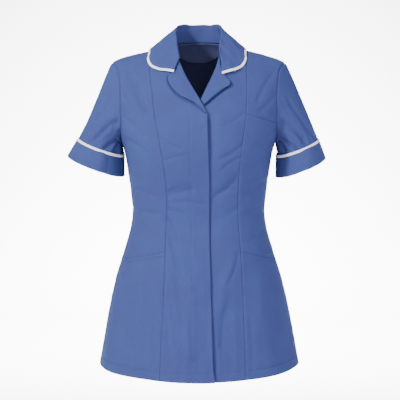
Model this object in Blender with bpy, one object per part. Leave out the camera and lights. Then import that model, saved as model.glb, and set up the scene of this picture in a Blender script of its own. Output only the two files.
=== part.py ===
"""Short-sleeved healthcare tunic, hollow and filled out as worn.

Princess-seamed fronts that close right over left with a covered placket, open revere neck with a
round collar and white edging, set-in sleeves with edged turn-up cuffs, and pockets set in the seams.
Units are metres. +X is the wearer's left, -Y the front, +Z up. The origin lies between the two
points where the neck meets the shoulders, which carry the tunic.
"""
import bpy
import numpy as np

# Cloth
CLOTH = 0.0012
DOUBLE_CLOTH = 0.0016
SEAM_GAP = 0.0003
HALF_GAP = SEAM_GAP / 2

# Body of the tunic: level sections, from the hem up, as
# (height, half width, front depth, back depth, squareness)
BODY_SECTIONS = (
    (-0.705, 0.2200, 0.1530, 0.1500, 1.95),
    (-0.640, 0.2085, 0.1470, 0.1450, 2.00),
    (-0.570, 0.1955, 0.1410, 0.1400, 2.05),
    (-0.500, 0.1795, 0.1340, 0.1330, 2.10),
    (-0.440, 0.1610, 0.1240, 0.1200, 2.15),
    (-0.400, 0.1490, 0.1140, 0.1040, 2.20),
    (-0.362, 0.1425, 0.1070, 0.0920, 2.25),
    (-0.320, 0.1450, 0.1100, 0.0920, 2.30),
    (-0.280, 0.1500, 0.1180, 0.0980, 2.35),
    (-0.240, 0.1560, 0.1260, 0.1040, 2.40),
    (-0.213, 0.1620, 0.1295, 0.1075, 2.40),
    (-0.190, 0.1690, 0.1300, 0.1095, 2.40),
    (-0.160, 0.1770, 0.1300, 0.1100, 2.40),
    (-0.120, 0.1860, 0.1300, 0.1100, 2.40),
    (-0.060, 0.1960, 0.1300, 0.1100, 2.40),
    (0.020, 0.2060, 0.1300, 0.1100, 2.40),
)
BUST_HEIGHT = -0.205
BLADE_HEIGHT = -0.150
UNDERARM_HEIGHT = -0.213
FRONT_LEAN_POWER = 1.55
BACK_LEAN_POWER = 2.0
BACK_NECK_LEAN_POWER = 3.0
HEM_HEIGHT = -0.690
HEM_DIP = 0.008
NECK_HALF_WIDTH = 0.062
BACK_NECK_HEIGHT = 0.006

# Shoulder line seen from the front, from the neck out, as (out, height)
SHOULDER_LINE = (
    (0.000, 0.020), (0.030, 0.015), (0.062, 0.000), (0.100, -0.0115),
    (0.143, -0.0220), (0.168, -0.0300), (0.1835, -0.0368), (0.210, -0.0500),
)

# Seams and free edges of the fronts: where each lies at a height
# Armhole, as (height, out on the front, out on the back)
ARMHOLE = (
    (-0.213, 0.1620, 0.1620), (-0.203, 0.1635, 0.1645), (-0.185, 0.1640, 0.1672),
    (-0.150, 0.1630, 0.1695), (-0.110, 0.1632, 0.1700), (-0.075, 0.1660, 0.1715),
    (-0.052, 0.1705, 0.1752), (-0.0425, 0.1760, 0.1795), (-0.0368, 0.1835, 0.1835),
)
# Princess seams, as (height, x on the right, x on the left)
PRINCESS = (
    (-0.705, -0.0813, 0.0994), (-0.614, -0.0784, 0.0972), (-0.558, -0.0751, 0.0951),
    (-0.486, -0.0716, 0.0913), (-0.430, -0.0696, 0.0885), (-0.400, -0.0690, 0.0862),
    (-0.345, -0.0658, 0.0822), (-0.292, -0.0674, 0.0838), (-0.233, -0.0752, 0.0873),
    (-0.188, -0.0833, 0.0937), (-0.150, -0.0909, 0.0985), (-0.098, -0.0964, 0.1008),
    (-0.053, -0.1024, 0.1013), (0.000, -0.1040, 0.1015),
)
# Placket, as (height, x of its stitched line, x of its free edge)
PLACKET = (
    (-0.705, -0.0115, 0.0350), (-0.668, -0.0121, 0.0303), (-0.612, -0.0128, 0.0284),
    (-0.526, -0.0135, 0.0262), (-0.394, -0.0157, 0.0229), (-0.270, -0.0176, 0.0222),
    (-0.195, -0.0188, 0.0196), (-0.140, -0.0196, 0.0182),
)
BREAK_HEIGHT = -0.140
# Edges of the fronts, as (height, x)
RIGHT_NECK_EDGE = (
    (-0.1400, 0.0182), (-0.1266, 0.0102), (-0.1114, 0.0020), (-0.0859, -0.0135), (-0.0634, -0.0268),
    (-0.0386, -0.0387), (-0.0200, -0.0440), (-0.0100, -0.0490), (-0.0040, -0.0550), (0.0000, -0.0620),
)
LEFT_NECK_EDGE = (
    (-0.7050, -0.0100), (-0.2000, -0.0120), (-0.1400, -0.0100), (-0.1240, -0.0035), (-0.1083, 0.0061),
    (-0.0859, 0.0174), (-0.0572, 0.0314), (-0.0344, 0.0401), (-0.0200, 0.0440), (-0.0100, 0.0490),
    (-0.0040, 0.0550), (0.0000, 0.0620),
)

# Pocket mouths: height at the princess seam and at the side seam or armhole
HIP_MOUTH = (-0.4305, -0.4545)
BREAST_MOUTH = (-0.1440, -0.1640)
POCKET_RECESS = CLOTH + SEAM_GAP

# Levels of what lies over or under a panel
UNDERLAP_DROP = 0.0021
UNDERLAP_FADE = 0.030
LAPEL_ROLL_LEVEL = 0.0006
LAPEL_FOOT_LEVEL = 0.0023
LAPEL_EDGE_LEVEL = 0.0026
LAPEL_FOOT_FROM = 0.55
LAPEL_FOOT_OVER = 0.30
PLACKET_HIDDEN_TOP = 0.004
FACING_DROP = CLOTH + 0.0009
FACING_LOWEST_ROW = 25.3
FACING_SIDE_ROW = 28.3
FACING_ROUNDNESS = 2.5

# Lapels: roll line, seam to the collar and outer edge, from the collar down, as (x, height)
RIGHT_LAPEL_ROLL = (
    (-0.0402, -0.0340), (-0.0268, -0.0634), (-0.0135, -0.0859), (0.0020, -0.1114), (0.0165, -0.1375),
)
RIGHT_LAPEL_SEAM = ((-0.0402, -0.0340), (-0.0515, -0.0622), (-0.0614, -0.0668))
RIGHT_LAPEL_EDGE = (
    (-0.0614, -0.0668), (-0.0623, -0.0737), (-0.0578, -0.0839), (-0.0465, -0.0982), (-0.0308, -0.1092),
    (-0.0155, -0.1164), (0.0009, -0.1266), (0.0112, -0.1355), (0.0155, -0.1395),
)
LEFT_LAPEL_ROLL = (
    (0.0434, -0.0215), (0.0401, -0.0344), (0.0314, -0.0572), (0.0174, -0.0859), (0.0048, -0.1115),
)
LEFT_LAPEL_SEAM = ((0.0434, -0.0215), (0.0480, -0.0620), (0.0520, -0.0690))
LEFT_LAPEL_EDGE = (
    (0.0520, -0.0690), (0.0640, -0.0785), (0.0647, -0.0808), (0.0460, -0.0955), (0.0280, -0.1096),
    (0.0110, -0.1240),
)

# Collar: half sections from the centre back round to the front; its edges rest on the body
# Sections, as (seam x, seam height, face, roll x, roll y, roll z)
COLLAR_SECTIONS = (
    (0.0000, 0.0060, 1, 0.0000, 0.0720, 0.0450),
    (0.0290, 0.0048, 1, 0.0260, 0.0640, 0.0450),
    (0.0500, 0.0025, 1, 0.0420, 0.0430, 0.0440),
    (0.0600, 0.0005, 1, 0.0478, 0.0190, 0.0385),
    (0.0592, -0.0018, -1, 0.0490, 0.0000, 0.0300),
    (0.0550, -0.0040, -1, 0.0480, -0.0140, 0.0160),
    (0.0515, -0.0070, -1, 0.0462, -0.0260, 0.0040),
    (0.0480, -0.0120, -1, 0.0448, -0.0350, -0.0060),
)
COLLAR_RIGHT_END = (-0.0440, -0.0200, -1, -0.0400, -0.0560, -0.0270)
COLLAR_LEFT_END = (0.0445, -0.0180, -1, 0.0440, -0.0450, -0.0140)
# Outer edges, as (out, height, face, level)
COLLAR_RIGHT_EDGE = (
    (0.0000, -0.0130, 1, 0.0026), (0.0480, -0.0150, 1, 0.0026), (0.0850, -0.0200, 1, 0.0028),
    (0.1010, -0.0185, 1, 0.0030), (0.1062, -0.0200, -1, 0.0030), (0.1080, -0.0322, -1, 0.0028),
    (0.1005, -0.0462, -1, 0.0028), (0.0825, -0.0545, -1, 0.0038), (0.0523, -0.0595, -1, 0.0052),
)
COLLAR_LEFT_EDGE = (
    (0.0000, -0.0130, 1, 0.0026), (0.0480, -0.0150, 1, 0.0026), (0.0840, -0.0200, 1, 0.0028),
    (0.0975, -0.0185, 1, 0.0030), (0.1000, -0.0200, -1, 0.0030), (0.1005, -0.0322, -1, 0.0028),
    (0.0932, -0.0455, -1, 0.0028), (0.0770, -0.0555, -1, 0.0044), (0.0492, -0.0635, -1, 0.0060),
)
COLLAR_THICK = 0.0014
COLLAR_ROLL_RADIUS = 0.0026
COLLAR_FALL_RISE = 0.0002
COLLAR_BULGE = 0.0015
COLLAR_SEAM_RISE = 0.0009
COLLAR_ARC_DEGREES = (168.0, 130.0, 90.0, 50.0, 14.0)
COLLAR_FALL_SHARES = (0.25, 0.50, 0.75, 1.0)
EDGING_WIDTH = 0.0060
EDGING_THICK = 0.0012
EDGING_GAP = 0.0004

# Sleeves: middle and half width of the rings at the cuff's top and foot, seen from the front
# Rows, as (name, side, top out, top z, top half width, foot out, foot z, foot half width, tilt in degrees)
SLEEVES = (
    ("left", 1, 0.2115, -0.2165, 0.0490, 0.2190, -0.2618, 0.0584, 20.8),
    ("right", -1, 0.2085, -0.2150, 0.0530, 0.2205, -0.2586, 0.0655, 19.8),
)
SLEEVE_GAP = 0.0004
SLEEVE_HALF_DEPTH = 0.0520
SLEEVE_DEPTH_GROWTH = 1.10
CUFF_FRONT_DIP = 0.0045
SLEEVE_UNDER_CUFF = 0.0022
SLEEVE_FOOT_SHARE = 0.94
SLEEVE_START_SHARE = 1.0
SLEEVE_START_PULL = (0.012, 0.021)
SLEEVE_END_PULL = 0.75

# Largest folds: a soft trough (below 0) or ridge (above 0) from one end to the other
# Rows, as (face, x1, z1, x2, z2, half width, height)
FOLDS = (
    (-1, -0.066, -0.365, -0.018, -0.525, 0.0110, -0.0028),
    (-1, -0.062, -0.540, -0.046, -0.625, 0.0100, -0.0026),
    (-1, -0.050, -0.550, -0.018, -0.655, 0.0110, 0.0026),
    (-1, 0.072, -0.450, 0.034, -0.525, 0.0120, 0.0026),
    (-1, 0.058, -0.540, 0.050, -0.630, 0.0110, -0.0024),
    (-1, -0.066, -0.312, -0.012, -0.298, 0.0080, -0.0020),
    (-1, 0.083, -0.273, 0.032, -0.322, 0.0090, -0.0022),
    (-1, -0.150, -0.060, -0.108, -0.145, 0.0110, -0.0024),
    (1, -0.060, -0.340, -0.025, -0.500, 0.0130, -0.0028),
    (1, 0.055, -0.350, 0.085, -0.540, 0.0130, -0.0028),
    (1, -0.020, -0.470, 0.012, -0.640, 0.0140, 0.0030),
    (1, 0.100, -0.300, 0.030, -0.325, 0.0100, -0.0024),
    (1, -0.110, -0.290, -0.040, -0.330, 0.0100, -0.0022),
    (1, -0.120, -0.090, -0.080, -0.190, 0.0130, -0.0022),
)
FOLD_END_SHARE = 0.3
HEM_WAVES = 7
HEM_WAVE_HEIGHT = 0.0026
HEM_WAVE_TOP = -0.420
HEM_WAVE_PHASE = 0.6
HEM_WAVE_DEPTH = 0.150

# Mesh rows, counted up from the hem, and cells across
HIP_ROW = 8
UNDERARM_ROW = 16
BREAST_ROW = 20
UPPER_ROWS = (0.16, 0.32, 0.47, 0.60, 0.72, 0.82, 0.90, 0.955, 0.988, 1.0)
SHOULDER_ROW = BREAST_ROW + len(UPPER_ROWS)
MOUTH_STEP = 0.3
HIP_BAG_ROW = 3
BREAST_BAG_ROW = 14
CENTRE_CELLS = 6
PLACKET_CELLS = 3
PLACKET_TOP_CELLS = 3
SIDE_CELLS = 6
ARMHOLE_CELLS = SHOULDER_ROW - UNDERARM_ROW
BACK_NECK_CELLS = 8
FACING_CELLS = 5
BACK_SHOULDER_CELLS = 6
LAPEL_CELLS_ALONG = 12
LAPEL_CELLS_ACROSS = 4
SLEEVE_RINGS = (0.0, 0.06, 0.14, 0.26, 0.42, 0.60, 0.80, 1.0)
CUFF_CELLS = 3
COLLAR_CELLS_BETWEEN = 3
SETTLING_ROUNDS = 12
SLOPE_STEP = 1e-6

# Finishes: sRGB colour and roughness
TUNIC_BLUE = (0.300, 0.455, 0.745)
EDGING_WHITE = (0.930, 0.935, 0.945)
FACING_BLUE = (0.240, 0.360, 0.600)
CLOTH_ROUGHNESS = 0.85
SMOOTH_ANGLE = 50.0

COLLECTION_NAME = "healthcare_tunic"


def start_collection():
    """Empty the scene and make the tunic's collection."""
    for item in list(bpy.data.objects):
        bpy.data.objects.remove(item, do_unlink=True)
    collection = bpy.data.collections.new(COLLECTION_NAME)
    bpy.context.scene.collection.children.link(collection)
    return collection


def linear(colour):
    """sRGB components as linear ones with alpha."""
    parts = [c / 12.92 if c <= 0.04045 else ((c + 0.055) / 1.055) ** 2.4 for c in colour]
    return (*parts, 1.0)


def finish(name, colour):
    """A plain cloth material of one colour."""
    material = bpy.data.materials.new(name)
    material.use_nodes = True
    shader = material.node_tree.nodes["Principled BSDF"]
    shader.inputs["Base Color"].default_value = linear(colour)
    shader.inputs["Roughness"].default_value = CLOTH_ROUGHNESS
    shader.inputs["Metallic"].default_value = 0.0
    return material


def smooth(rows, column, at):
    """One column of a table at positions of its first column, on a smooth curve through its rows."""
    table = np.asarray(rows, float)
    knots = table[:, 0]
    values = table[:, column]
    widths = np.diff(knots)
    rises = np.diff(values) / widths
    slopes = np.empty_like(values)
    slopes[1:-1] = (rises[:-1] * widths[1:] + rises[1:] * widths[:-1]) / (widths[:-1] + widths[1:])
    slopes[0] = rises[0]
    slopes[-1] = rises[-1]
    at = np.clip(np.asarray(at, float), knots[0], knots[-1])
    cell = np.clip(np.searchsorted(knots, at, side="right") - 1, 0, len(knots) - 2)
    width = widths[cell]
    part = (at - knots[cell]) / width
    mixed = (3 - 2 * part) * part ** 2
    leaving = part * (1 - part) ** 2 * width * slopes[cell]
    arriving = part ** 2 * (1 - part) * width * slopes[cell + 1]
    return values[cell] * (1 - mixed) + values[cell + 1] * mixed + leaving - arriving


def along(points, at):
    """Smooth curve through points, at shares of its length from 0 to 1."""
    points = np.asarray(points, float)
    steps = np.linalg.norm(np.diff(points, axis=0), axis=1)
    share = np.concatenate(([0.0], np.cumsum(steps))) / steps.sum()
    rows = np.column_stack((share, points))
    return np.stack([smooth(rows, 1 + axis, at) for axis in range(points.shape[1])], axis=-1)


def fade(value):
    """Soft step from 0 to 1 as the value goes from 0 to 1."""
    value = np.clip(value, 0.0, 1.0)
    return value * value * (3 - 2 * value)


def half_width(height):
    """Half width of the body's section, as if it had no armholes."""
    return smooth(BODY_SECTIONS, 1, height)


def section_power(height):
    """Power of the body's section at a height: 2 is an ellipse, more is squarer."""
    return smooth(BODY_SECTIONS, 4, height)


def turn_height(face):
    """Fullest level of the chest (-1) or the upper back (1), above which it leans to the shoulder."""
    return BUST_HEIGHT if face < 0 else BLADE_HEIGHT


def ridge_height(x, face):
    """Height of the shoulder line; inside the neck only the back rises on."""
    out = np.abs(x)
    if face < 0:
        out = np.maximum(out, NECK_HALF_WIDTH)
    return smooth(SHOULDER_LINE, 1, out)


def lean_power(x, face):
    """How full the body is between its fullest level and the shoulder line."""
    if face < 0:
        return np.full_like(x, FRONT_LEAN_POWER)
    near_neck = np.exp(-(x / NECK_HALF_WIDTH) ** 2)
    return BACK_LEAN_POWER + (BACK_NECK_LEAN_POWER - BACK_LEAN_POWER) * near_neck


def middle_depth(height, face):
    """Depth of the level section at the middle, before it leans to the shoulder."""
    return smooth(BODY_SECTIONS, 2 if face < 0 else 3, np.minimum(height, turn_height(face)))


def section_depth(x, height, face):
    """Depth of the level section at x: a rounded box between a circle and a square."""
    share = np.clip(np.abs(x) / half_width(height), 0.0, 1.0)
    power = section_power(height)
    return middle_depth(height, face) * (1 - share ** power) ** (1 / power)


def surface_y(x, height, face):
    """Where the body's surface lies, front or back, at x and height."""
    turn = turn_height(face)
    power = lean_power(x, face)
    rise = np.clip((height - turn) / (ridge_height(x, face) - turn), 0.0, 1.0)
    return face * section_depth(x, height, face) * (1 - rise ** power) ** (1 / power)


def shape_value(x, y, height, face):
    """1 on the body's surface, less inside it and more outside."""
    turn = turn_height(face)
    squareness = section_power(height)
    across = (np.abs(x) / half_width(height)) ** squareness
    deep = (np.abs(y) / middle_depth(height, face)) ** squareness
    section = (across + deep) ** (1 / squareness)
    power = lean_power(x, face)
    rise = np.clip((height - turn) / (ridge_height(x, face) - turn), 0.0, None)
    level = np.maximum(section_depth(x, height, face), SLOPE_STEP)
    leaning = ((np.abs(y) / level) ** power + rise ** power) ** (1 / power)
    return np.where(height > turn, leaning, section)


def slope(x, y, height, face):
    """Gradient of the shape value, which points straight out of the surface."""
    pairs = []
    for step in np.eye(3) * SLOPE_STEP:
        ahead = shape_value(x + step[0], y + step[1], height + step[2], face)
        behind = shape_value(x - step[0], y - step[1], height - step[2], face)
        pairs.append((ahead - behind) / (2 * SLOPE_STEP))
    return np.stack(pairs, axis=-1)


def unit(vectors):
    """Vectors scaled to a length of 1."""
    return vectors / np.linalg.norm(vectors, axis=-1, keepdims=True)


def fold_height(x, height, face):
    """Sum of the folds at a point: each fades across its width and towards its ends."""
    total = np.zeros_like(x)
    for fold_face, x1, z1, x2, z2, width, size in FOLDS:
        if fold_face != face:
            continue
        length = np.hypot(x2 - x1, z2 - z1)
        way = ((x2 - x1) / length, (z2 - z1) / length)
        down = ((x - x1) * way[0] + (height - z1) * way[1]) / length
        across = (x - x1) * way[1] - (height - z1) * way[0]
        ends = fade(down / FOLD_END_SHARE + 0.5) * fade((1 - down) / FOLD_END_SHARE + 0.5)
        total += size * np.exp(-(across / width) ** 2) * ends
    depth = np.abs(surface_y(x, height, face)) / HEM_WAVE_DEPTH
    angle = np.arctan2(x / half_width(height), -face * depth)
    flare = fade((HEM_WAVE_TOP - height) / (HEM_WAVE_TOP - HEM_HEIGHT))
    return total + HEM_WAVE_HEIGHT * flare * np.cos(HEM_WAVES * angle + HEM_WAVE_PHASE)


def on_body(x, height, face, level=0.0):
    """Points of the tunic's surface with its folds, moved straight out by a level."""
    x, height = np.broadcast_arrays(np.asarray(x, float), np.asarray(height, float))
    y = surface_y(x, height, face)
    out = fold_height(x, height, face) + level
    points = np.stack((x, y, height), axis=-1) + unit(slope(x, y, height, face)) * out[..., None]
    points[..., 1] += face * HALF_GAP
    return points


def height_above(points, face):
    """Distance of points from the body's surface, and the way straight out."""
    steep = slope(points[..., 0], points[..., 1], points[..., 2], face)
    value = shape_value(points[..., 0], points[..., 1], points[..., 2], face)
    return (value - 1) / np.linalg.norm(steep, axis=-1), unit(steep)


def lift_to(points, level, exact):
    """Move points straight out to a level above the body, or only those that are lower."""
    for _ in range(SETTLING_ROUNDS):
        front, front_way = height_above(points, -1)
        back, back_way = height_above(points, 1)
        behind = points[..., 1] > 0
        away = np.where(behind, back, front)
        way = np.where(behind[..., None], back_way, front_way)
        lack = level - away
        if not exact:
            lack = np.maximum(lack, 0.0)
        points = points + way * lack[..., None]
    return points


def new_object(collection, name, vertices, faces, material):
    """Mesh object with its points in place, shaded smooth but for its sharp edges."""
    mesh = bpy.data.meshes.new(name)
    mesh.from_pydata(vertices, [], faces)
    mesh.materials.append(material)
    mesh.shade_smooth()
    mesh.set_sharp_from_angle(angle=np.radians(SMOOTH_ANGLE))
    item = bpy.data.objects.new(name, mesh)
    collection.objects.link(item)
    return item


def grid_faces(rows, columns, offset, flip, closed):
    """Triangles of a grid of points, joined end to end across its columns when closed."""
    row = np.arange(rows - 1)[:, None]
    column = np.arange(columns if closed else columns - 1)[None, :]
    beside = (column + 1) % columns
    first, second = row * columns + column, row * columns + beside
    third, fourth = second + columns, first + columns
    halves = ((first, second, third), (first, third, fourth))
    triangles = np.stack([np.stack(np.broadcast_arrays(*half), axis=-1) for half in halves])
    triangles = triangles.reshape(-1, 3) + offset
    return triangles[:, ::-1] if flip else triangles


def border(rows, columns, closed):
    """Loops of point numbers round a grid, in the direction of its faces."""
    if closed:
        first = list(range(columns))
        last = [(rows - 1) * columns + column for column in range(columns)]
        return [first, last[::-1]]
    low = list(range(columns))
    right = [row * columns + columns - 1 for row in range(1, rows)]
    high = [(rows - 1) * columns + column for column in range(columns - 2, -1, -1)]
    left = [row * columns for row in range(rows - 2, 0, -1)]
    return [low + right + high + left]


def volume_of(vertices, faces):
    """Volume inside closed triangles, below 0 when they point inwards."""
    corners = vertices[np.array(faces)]
    return float((corners[:, 0] * np.cross(corners[:, 1], corners[:, 2])).sum() / 6)


def cloth_wall(collection, name, outer, inner, material, closed=False):
    """Closed wall between an outer and an inner grid of points."""
    rows, columns = outer.shape[:2]
    count = rows * columns
    vertices = np.concatenate((outer.reshape(-1, 3), inner.reshape(-1, 3)))
    faces = grid_faces(rows, columns, 0, False, closed).tolist()
    faces += grid_faces(rows, columns, count, True, closed).tolist()
    for loop in border(rows, columns, closed):
        following = loop[1:] + loop[:1]
        faces += [[b, a, a + count] for a, b in zip(loop, following)]
        faces += [[b, a + count, b + count] for a, b in zip(loop, following)]
    if volume_of(vertices, faces) < 0:
        faces = [face[::-1] for face in faces]
    return new_object(collection, name, vertices.tolist(), faces, material)


def body_wall(collection, name, x, height, face, material, level=0.0, thickness=CLOTH):
    """Wall on the body between a level and the cloth's thickness below it."""
    outer = on_body(x, height, face, level)
    inner = on_body(x, height, face, level - thickness)
    return cloth_wall(collection, name, outer, inner, material)


def princess_x(height, side):
    """Princess seam of the wearer's right (-1) or left (1) front."""
    return smooth(PRINCESS, 1 if side < 0 else 2, height)


def over_edge_x(height):
    """Free edge of the right front, which laps over: the placket's edge and, above it, the roll."""
    return np.where(height < BREAK_HEIGHT, smooth(PLACKET, 2, height), smooth(RIGHT_NECK_EDGE, 1, height))


def under_edge_x(height):
    """Free edge of the left front, which lies under, and its roll."""
    return smooth(LEFT_NECK_EDGE, 1, height)


def stitch_x(height):
    """Stitched line of the placket."""
    return smooth(PLACKET, 1, np.minimum(height, BREAK_HEIGHT))


def armhole_out(height, face):
    """How far out the armhole or, below it, the side seam lies."""
    armhole = smooth(ARMHOLE, 1 if face < 0 else 2, height)
    return np.where(height > UNDERARM_HEIGHT, armhole, half_width(height))


def hem_height(x, face):
    """Height of the hem, which dips a little at the centre front."""
    dip = HEM_DIP if face < 0 else 0.0
    return HEM_HEIGHT - dip * np.clip(1 - (x / half_width(HEM_HEIGHT)) ** 2, 0.0, 1.0)


def mouth_height(x, ends, face):
    """Height of a slanted line from the princess seam to the outer seam; level across the back."""
    if face > 0:
        return np.full_like(x, ends[1])
    inner_out = np.abs(np.where(x < 0, princess_x(ends[0], -1), princess_x(ends[0], 1)))
    share = np.clip((np.abs(x) - inner_out) / (armhole_out(ends[1], face) - inner_out), 0.0, 1.0)
    return ends[0] + (ends[1] - ends[0]) * share


def top_height(x, face):
    """Height of the shoulder seam or, behind the neck, of the back neck seam."""
    ridge = ridge_height(x, face)
    if face < 0:
        return ridge
    inside = np.clip(1 - (x / NECK_HALF_WIDTH) ** 2, 0.0, 1.0)
    return np.where(np.abs(x) < NECK_HALF_WIDTH, BACK_NECK_HEIGHT * inside, ridge)


def row_height(x, row, face):
    """Height of a row, counted from the hem to the shoulder, at x."""
    hem = hem_height(x, face)
    hip = mouth_height(x, HIP_MOUTH, face)
    breast = mouth_height(x, BREAST_MOUTH, face)
    rise = np.interp(row - BREAST_ROW, np.arange(len(UPPER_ROWS) + 1), (0.0, *UPPER_ROWS))
    upper = breast + (top_height(x, face) - breast) * rise
    chest_share = (row - UNDERARM_ROW) / (BREAST_ROW - UNDERARM_ROW)
    chest = UNDERARM_HEIGHT + (breast - UNDERARM_HEIGHT) * chest_share
    waist = hip + (UNDERARM_HEIGHT - hip) * (row - HIP_ROW) / (UNDERARM_ROW - HIP_ROW)
    skirt = hem + (hip - hem) * row / HIP_ROW
    zones = (row <= HIP_ROW, row <= UNDERARM_ROW, row <= BREAST_ROW)
    return np.select(zones, (skirt, waist, chest), upper)


def turn_of(x, height):
    """How far round its section a point lies, 0 at the middle and a quarter turn at the side."""
    share = np.clip(np.abs(x) / half_width(height), 0.0, 1.0)
    return np.sign(x) * np.arcsin(share ** (section_power(height) / 2))


def out_at_turn(angle, height):
    """x of the point that lies this far round its section."""
    return np.sign(angle) * half_width(height) * np.abs(np.sin(angle)) ** (2 / section_power(height))


def spread(rows, shares, first_edge, last_edge, face, round_body):
    """x and height of a grid between two seams, spaced evenly across or evenly round the body."""
    row = np.asarray(rows, float)[:, None] * np.ones(len(shares))
    share = np.ones((len(rows), 1)) * np.asarray(shares, float)
    x = first_edge(np.full_like(row, UNDERARM_HEIGHT))
    for _ in range(SETTLING_ROUNDS):
        height = row_height(x, row, face)
        first, last = first_edge(height), last_edge(height)
        if round_body:
            angle = turn_of(first, height) * (1 - share) + turn_of(last, height) * share
            x = out_at_turn(angle, height)
        else:
            x = first + (last - first) * share
    return x, row_height(x, row, face)


def front_centres(collection, cloth):
    """The two centre fronts; the right one runs on under its placket to its free edge."""
    rows = np.arange(SHOULDER_ROW + 1)
    cells = CENTRE_CELLS + PLACKET_CELLS
    shares = np.linspace(0.0, 1.0, cells + 1)
    x, height = spread(rows, shares, lambda z: princess_x(z, -1) + HALF_GAP, over_edge_x, -1, False)
    for _ in range(SETTLING_ROUNDS):
        first, last = princess_x(height, -1) + HALF_GAP, over_edge_x(height)
        part = CENTRE_CELLS / cells
        line = np.minimum(stitch_x(height), first + (last - first) * part)
        before = np.clip(shares / part, 0.0, 1.0)
        beyond = np.clip((shares - part) / (1 - part), 0.0, 1.0)
        x = first + (line - first) * before + (last - line) * beyond
        height = row_height(x, rows[:, None] * np.ones(cells + 1), -1)
    body_wall(collection, "front_centre_right", x, height, -1, cloth)

    x, height = spread(rows, shares, under_edge_x, lambda z: princess_x(z, 1) - HALF_GAP, -1, False)
    drop = UNDERLAP_DROP * (1 - fade((x - over_edge_x(height)) / UNDERLAP_FADE))
    body_wall(collection, "front_centre_left", x, height, -1, cloth, -drop)


def placket(collection, cloth):
    """Band over the right front, from its stitched line to its free edge, its top under the lapel."""
    edge = np.asarray(RIGHT_LAPEL_EDGE)
    shares = np.linspace(0.0, 1.0, PLACKET_CELLS + 1)
    row = np.arange(BREAST_ROW + PLACKET_TOP_CELLS)[:, None] * np.ones(PLACKET_CELLS + 1)
    last_level_row = BREAST_ROW - 1
    climb = np.clip((row - last_level_row) / PLACKET_TOP_CELLS, 0.0, 1.0)
    x = np.zeros_like(row)
    for _ in range(SETTLING_ROUNDS):
        top = np.interp(x, edge[:, 0], edge[:, 1]) + PLACKET_HIDDEN_TOP
        base = row_height(x, np.minimum(row, last_level_row), -1)
        height = base + (top - base) * climb
        line = stitch_x(height)
        x = line + (over_edge_x(height) - HALF_GAP - line) * shares
    body_wall(collection, "fly_placket", x, height, -1, cloth, SEAM_GAP + CLOTH)


def side_front(collection, name, side, rows, recess_row, cloth):
    """Side front between princess seam and side seam or armhole, set back behind a pocket mouth."""
    shares = np.linspace(0.0, 1.0, SIDE_CELLS + 1)
    inner = lambda z: princess_x(z, side) + side * HALF_GAP
    outer = lambda z: side * armhole_out(z, -1)
    x, height = spread(rows, shares, inner, outer, -1, True)
    level = np.where(np.asarray(rows)[:, None] <= recess_row, -POCKET_RECESS, 0.0) * np.ones(len(shares))
    body_wall(collection, name, x, height, -1, cloth, level)


def rows_behind_mouth(bag_row, mouth_row, top_row):
    """Rows of a panel that runs on behind a pocket: its bag, its mouth and the cloth above."""
    return [*range(bag_row, mouth_row + 1), mouth_row + MOUTH_STEP, *range(mouth_row + 1, top_row + 1)]


def side_fronts(collection, cloth):
    """Side fronts and what lies over them: hip pockets on both sides, a breast pocket on the left."""
    right_rows = rows_behind_mouth(HIP_BAG_ROW, HIP_ROW, SHOULDER_ROW)
    side_front(collection, "side_front_right", -1, right_rows, HIP_ROW, cloth)
    left_rows = rows_behind_mouth(HIP_BAG_ROW, HIP_ROW, BREAST_ROW)
    side_front(collection, "side_front_left", 1, left_rows, HIP_ROW, cloth)
    yoke_rows = rows_behind_mouth(BREAST_BAG_ROW, BREAST_ROW, SHOULDER_ROW)
    side_front(collection, "upper_side_front_left", 1, yoke_rows, BREAST_ROW, cloth)
    for name, side in (("hip_pocket_right", -1), ("hip_pocket_left", 1)):
        side_front(collection, name, side, range(HIP_ROW + 1), -1, cloth)


def back_shares():
    """Shares across the back, with one column each side at the point of neck and shoulder."""
    neck_end = float(turn_of(NECK_HALF_WIDTH, 0.0) / turn_of(armhole_out(0.0, 1), 0.0))
    neck = np.linspace(-neck_end, neck_end, BACK_NECK_CELLS + 1)
    shoulder = np.linspace(neck_end, 1.0, BACK_SHOULDER_CELLS + 1)[1:]
    return neck, (np.concatenate((-shoulder[::-1], neck, shoulder)) + 1) / 2


def back(collection, cloth, facing_cloth):
    """The back in one piece, and the half-round facing inside its neck."""
    neck, shares = back_shares()
    edges = (lambda z: -armhole_out(z, 1), lambda z: armhole_out(z, 1))
    x, height = spread(np.arange(SHOULDER_ROW + 1), shares, *edges, 1, True)
    body_wall(collection, "back", x, height, 1, cloth)

    share = (neck + 1) / 2
    deep = 1 - np.abs(neck / neck[-1]) ** FACING_ROUNDNESS
    lowest = FACING_SIDE_ROW + (FACING_LOWEST_ROW - FACING_SIDE_ROW) * deep
    climb = np.linspace(0.0, 1.0, FACING_CELLS + 1)[:, None]
    row = lowest + (SHOULDER_ROW - lowest) * climb
    inside = x_on_rows(row, share, edges)
    body_wall(collection, "back_neck_facing", *inside, 1, facing_cloth, -FACING_DROP)


def x_on_rows(row, share, edges):
    """x and height on the back at rows that differ from column to column."""
    x = np.zeros_like(row)
    for _ in range(SETTLING_ROUNDS):
        height = row_height(x, row, 1)
        first, last = edges[0](height), edges[1](height)
        angle = turn_of(first, height) * (1 - share) + turn_of(last, height) * share
        x = out_at_turn(angle, height)
    return x, row_height(x, row, 1)


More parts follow.
